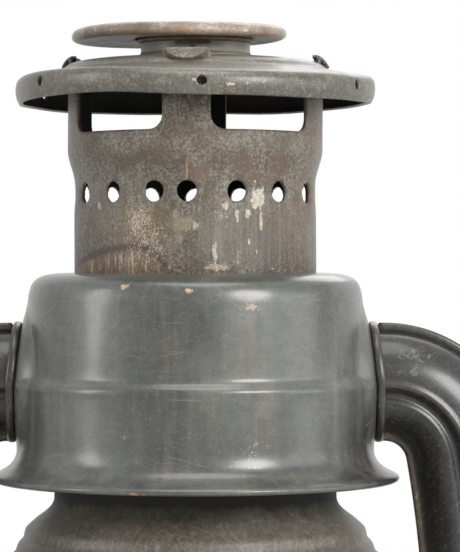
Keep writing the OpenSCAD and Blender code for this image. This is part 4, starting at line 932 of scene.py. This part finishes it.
def makeTubes(t):
    # the section carried round the upper bend, down the long bow, round the foot and on to the dome's slope
    bend = np.array([t["start"], t["z"] - t["bendR"]])
    bow = bend + (t["bendR"] - t["bowR"]) * aim(t["leanOut"])
    foot = bow + (t["bowR"] - t["footR"]) * aim(-t["leanIn"])
    u1, v1 = tubeSection(t, 1.0)
    u0, _ = tubeSection(t, 0.0)
    rings = []
    for back, u in ((t["stub"], u0), (1.7, u0), (1.5, 0.3 * u0 + 0.7 * u1), (1.2, u1), (0.2, u1)):
        rings.append(np.stack([t["start"] - back + 0 * u, v1, t["z"] + u], -1))
    turns = (np.linspace(89, t["leanOut"], t["bendRings"]),
             np.linspace(t["leanOut"], -t["leanIn"], t["bowRings"])[1:],
             np.linspace(-t["leanIn"], -t["slope"], t["footRings"])[1:])
    for (midX, midZ), radius, degrees in zip((bend, bow, foot), (t["bendR"], t["bowR"], t["footR"]), turns):
        for c, s in map(aim, degrees):
            rings.append(np.stack([midX + (radius + u1) * c, v1, midZ + (radius + u1) * s], -1))
    last = rings[-1]
    c, s = aim(t["slope"])
    (r0, z0), (r1, z1) = t["slopeLow"], t["slopeHigh"]
    step = np.linspace(0, t["search"], t["searchSteps"])[:, None]
    px, py, pz = last[:, 0] - step * s, last[:, 1] + 0 * step, last[:, 2] - step * c
    inside = np.hypot(px, py) < r0 + (r1 - r0) * (pz - z0) / (z1 - z0)
    reach = step[np.argmax(inside, 0), 0]
    for part in (0.5, 1.0):
        rings.append(last + (part * reach)[:, None] * (-s, 0, -c))
    points = np.stack(rings)
    fold = (np.abs(np.abs(u1 - t["mid"]) - t["lobeA"]) < 2.6) * (np.abs(v1) < 1.2)
    wear = np.tile(fold * np.where(u1 < 0, 0.5, 0.2) + 0.2 * bell(u1, t["ridgeU"], 0.7), len(rings))
    addPair("airTube.", "side_tube_", points, gridFaces(*points.shape[:2], False, True), wear)


makeTubes(tube)

bead = {
    "x": 39.3, "z": 201.05, "wide": 2.0, "tall": 2.1, "lobeA": 11.2, "lobeB": 9.2, "lean": 0.1, "square": 0.7,
    "kinkU": -2.4, "kinkW": 1.6, "kinkD": 0.5, "wear": 0.12, "steps": 120, "sides": 20}


def makeBeads(b):
    # rounded rim carried round the tube's oval, its upper half leaning to the chamber's narrower wall
    a, q = around(b["steps"])[:, None], around(b["sides"])[None, :]
    out = b["tall"] * (0.5 + 0.5 * boxy(np.cos(q), b["square"]))
    across = b["wide"] * 0.5 * boxy(np.sin(q), b["square"])
    u = (b["lobeA"] + out) * np.cos(a)
    v = (b["lobeB"] + out) * np.sin(a) * (1 - b["kinkD"] * bell(u, b["kinkU"], b["kinkW"]) / b["lobeB"])
    x = b["x"] + b["wide"] / 2 + across - b["lean"] * np.maximum(u, 0)
    points = np.stack([x, v, b["z"] + u], -1)
    addPair("tubeBead.", "tube_collar_", points, gridFaces(*x.shape, True, True), np.full(x.size, b["wear"]))


makeBeads(bead)
print("tubes made")

globe = {
    "low": 68.9, "tall": 101.2, "foot": 27, "belly": 42, "mouth": 34.5, "where": 0.46, "wall": 2.0,
    "points": 90, "steps": 160}


def makeGlobe(g):
    # half waves of a cosine from foot to belly and belly to mouth
    s = np.linspace(0, 1, g["points"])
    low = s < g["where"]
    way = np.where(low, 1 - s / g["where"], (s - g["where"]) / (1 - g["where"]))
    end = np.where(low, g["foot"], g["mouth"])
    r = end + (g["belly"] - end) * (0.5 + 0.5 * np.cos(np.pi * way))
    points, faces = turnedSheet(np.stack([r, g["low"] + g["tall"] * s], -1), g["wall"], g["steps"])
    addPiece("globeGlass", points, faces, ["globe"])


makeGlobe(globe)


def capsOf(rows, sides):
    # one face over each end of a tube of rings
    return [list(range(sides))[::-1], list(range((rows - 1) * sides, rows * sides))]


def carryRound(line, radius, sides, closed=False):
    # circle carried along a line of points: two cross directions found from the line's slope
    ahead = np.roll(line, -1, 0) - np.roll(line, 1, 0) if closed else np.gradient(line, axis=0)
    ahead /= np.linalg.norm(ahead, axis=1, keepdims=True)
    guide = np.cross(ahead, np.array([0.0, 0.0, 1.0]))
    guide /= np.linalg.norm(guide, axis=1, keepdims=True)
    other = np.cross(guide, ahead)
    q = around(sides)[None, :, None]
    ring = line[:, None] + radius * (np.cos(q) * guide[:, None] + np.sin(q) * other[:, None])
    faces = gridFaces(len(line), sides, closed, True).tolist()
    return ring, faces if closed else faces + capsOf(len(line), sides)


spring = {
    "low": 196.75, "high": 223.25, "r": 28.75, "wire": 0.9, "turns": 6, "gap": 0.0006, "perTurn": 40,
    "sides": 12}


def makeSpring(s):
    # helix with both end turns pressed flat, in two halves: the upper one stays with the spring's own body,
    # the lower one rides on the globe's carriage
    middle = (s["low"] + s["high"]) / 2
    half, turns = middle - s["low"], s["turns"] / 2
    lifts = {row["name"]: row["range_m"][1] / mm for row in behaviour["joints"] if row["type"] == "slide"}
    for name, first, joint, body, anchor in (("upper", turns + s["gap"], "globe_lift", None, s["high"]),
                                             ("lower", 0, "chimney_lift", "globe_carriage", middle)):
        t = np.linspace(first, first + turns - s["gap"], int(turns * s["perTurn"]) + 1)
        a = 2 * np.pi * t
        z = s["low"] + 2 * half * ramp(t, 0.5, s["turns"] - 0.5)
        points, faces = carryRound(polar(s["r"], a, z), s["wire"], s["sides"])
        piece = addPiece("chimneySpring." + name, points, faces, ["chimney_spring"], turnOut=True, body=body)
        anchor * mm
        1 - lifts[joint] / half
        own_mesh(piece)


makeSpring(spring)

guard = {"z": 117.8, "r": 45.4, "step": 2.6, "tilt": 18, "wire": 1.2, "steps": 144, "sides": 16}


def makeGuards(g):
    # two tilted rings: x, z turned about y by the tilt
    a = around(g["steps"])
    for name, r, tilt in (("inner", g["r"], g["tilt"]), ("outer", g["r"] + g["step"], -g["tilt"])):
        c, s = aim(tilt)
        line = np.stack([r * np.cos(a) * c, r * np.sin(a), g["z"] - r * np.cos(a) * s], -1)
        points, faces = carryRound(line, g["wire"], g["sides"], True)
        addPiece("guardRing." + name, points, faces, ["guard_wire_" + name], turnOut=True)


makeGuards(guard)
print("globe, spring and guard made")

wick = {"wide": 13, "thick": 2, "low": 11.8, "high": 81.5, "turn": -55, "frayed": 3, "rows": 60, "sides": 64}


def makeWick(w):
    # ribbon with round edges, thinner and ragged at the top: section carried straight up
    q = around(w["sides"])
    sx, sy = w["wide"] / 2 * boxy(np.cos(q), 0.25), w["thick"] / 2 * boxy(np.sin(q), 0.6)
    z = np.linspace(w["low"], w["high"], w["rows"])[:, None]
    top = ramp(z, w["high"] - w["frayed"], w["high"])
    ragged = 0.5 * np.sin(sx * 2.3 + 0.4) + 0.35 * np.sin(sx * 4.1 + 1.3)
    px, py = sx * (1 - 0.03 * top), sy * (1 - 0.12 * top)
    c, s = aim(w["turn"])
    points = np.stack([px * c - py * s, px * s + py * c, z + top * (ragged - 0.9)], -1)
    faces = gridFaces(w["rows"], w["sides"], False, True).tolist() + capsOf(w["rows"], w["sides"])
    addPiece("wickRibbon", points, faces, ["wick"], turnOut=True)


makeWick(wick)

tank = {
    "z": 3, "r": 56, "in": 0.35, "top": 41, "edge": 6, "wall": 0.8, "rib": 0.35, "ribW": 1.1,
    "ribZ": (11.5, 33.5), "rows": 60, "lipRows": 6, "lipIn": 0.05, "cornerRows": 12, "steps": 200}


def makeTank(t):
    # turned bowl with two pressed ribs round its wall
    z = np.linspace(t["z"] + t["edge"], t["top"], t["rows"])
    r = t["r"] - t["in"] + t["rib"] * sum(bell(z, rib, t["ribW"]) for rib in t["ribZ"])
    r[-t["lipRows"]:] = t["r"] - t["lipIn"]
    q = np.radians(np.linspace(-90, 0, t["cornerRows"]))
    corner = np.stack([t["r"] - t["in"] - t["edge"] + t["edge"] * np.cos(q),
                       t["z"] + t["edge"] + t["edge"] * np.sin(q)], -1)
    floor = np.linspace((0, t["z"]), (t["r"] - t["edge"] - 1, t["z"]), t["cornerRows"])
    path = np.concatenate([floor, corner, np.stack([r, z], -1)[1:]])
    points, faces = turnedSheet(path, t["wall"], t["steps"])
    up = points[..., 2]
    wear = 0.35 * sum(bell(up, rib, 0.9) for rib in t["ribZ"]) + 0.4 * bell(up, t["z"] + 0.8, 1.2)
    addPiece("tankBowl", points, faces, ["tank_bowl"], wear=wear)


makeTank(tank)
print("tank made")

# lamps: turn to the right of the front and rise over the floor in degrees, distance, width, height, power
studio = {
    "floor": 1.0, "floorZ": -0.0002, "floorSteps": 96, "world": 0.2, "aim": (0, 0, 0.2),
    "lamps": [("rightKey", 38, 24, 1.1, 0.5, 0.5, 11.4), ("rightFill", 74, 10, 1.1, 0.6, 0.6, 2.4),
        ("leftStrip", -70, 14, 1.0, 0.26, 0.6, 3.3), ("topSoftbox", 8, 76, 1.0, 0.7, 0.7, 5.6),
        ("backSoftbox", 165, 38, 1.2, 0.8, 0.8, 3.4)]}


def lightStudio(s):
    # white surroundings for what is seen directly, mirrored or through glass, plainer light for the rest
    world = bpy.data.worlds.new("whiteRoom")
    world.use_nodes = True
    tree = world.node_tree
    sky = tree.nodes["Background"]
    ray = tree.nodes.new("ShaderNodeLightPath")
    seen, glossy, through = (Wire(tree, ray.outputs["Is %s Ray" % kind])
                             for kind in ("Camera", "Glossy", "Transmission"))
    seen = seen.math("MAXIMUM", seen, glossy.math("MAXIMUM", glossy, through))
    sky.inputs["Color"].default_value = (1, 1, 1, 1)
    plug(tree, seen * (1 - s["world"]) + s["world"], sky.inputs["Strength"])
    bpy.context.scene.world = world
    for name, turn, rise, far, wide, tall, power in s["lamps"]:
        # a lamp shines along its own -Z
        data = bpy.data.lights.new(name, "AREA")
        data.shape, data.size, data.size_y, data.energy = "ELLIPSE", wide, tall, power
        lamp = bpy.data.objects.new(name, data)
        bpy.context.scene.collection.objects.link(lamp)
        t, e = math.radians(turn), math.radians(rise)
        way = np.array((math.sin(t) * math.cos(e), -math.cos(t) * math.cos(e), math.sin(e)))
        lamp.location = np.array(s["aim"]) + far * way
        lamp.rotation_euler = (math.pi / 2 - e, 0, t)
    a = around(s["floorSteps"])
    mesh = bpy.data.meshes.new("floor")
    rings = [polar(r, a, s["floorZ"]) for r in (0.0, s["floor"])]
    mesh.from_pydata(np.concatenate(rings).tolist(), [], gridFaces(2, s["floorSteps"], False, True).tolist())
    floor = bpy.data.objects.new("floor", mesh)
    bpy.context.scene.collection.objects.link(floor)
    f = Finish("paleFloor", Roughness=0.7)
    f.use({"Base Color": f.mix(f.noise(6, 3), (0.86, 0.86, 0.85, 1), (0.9, 0.9, 0.89, 1))})
    mesh.materials.append(f.material)


lightStudio(studio)
print("pieces done")
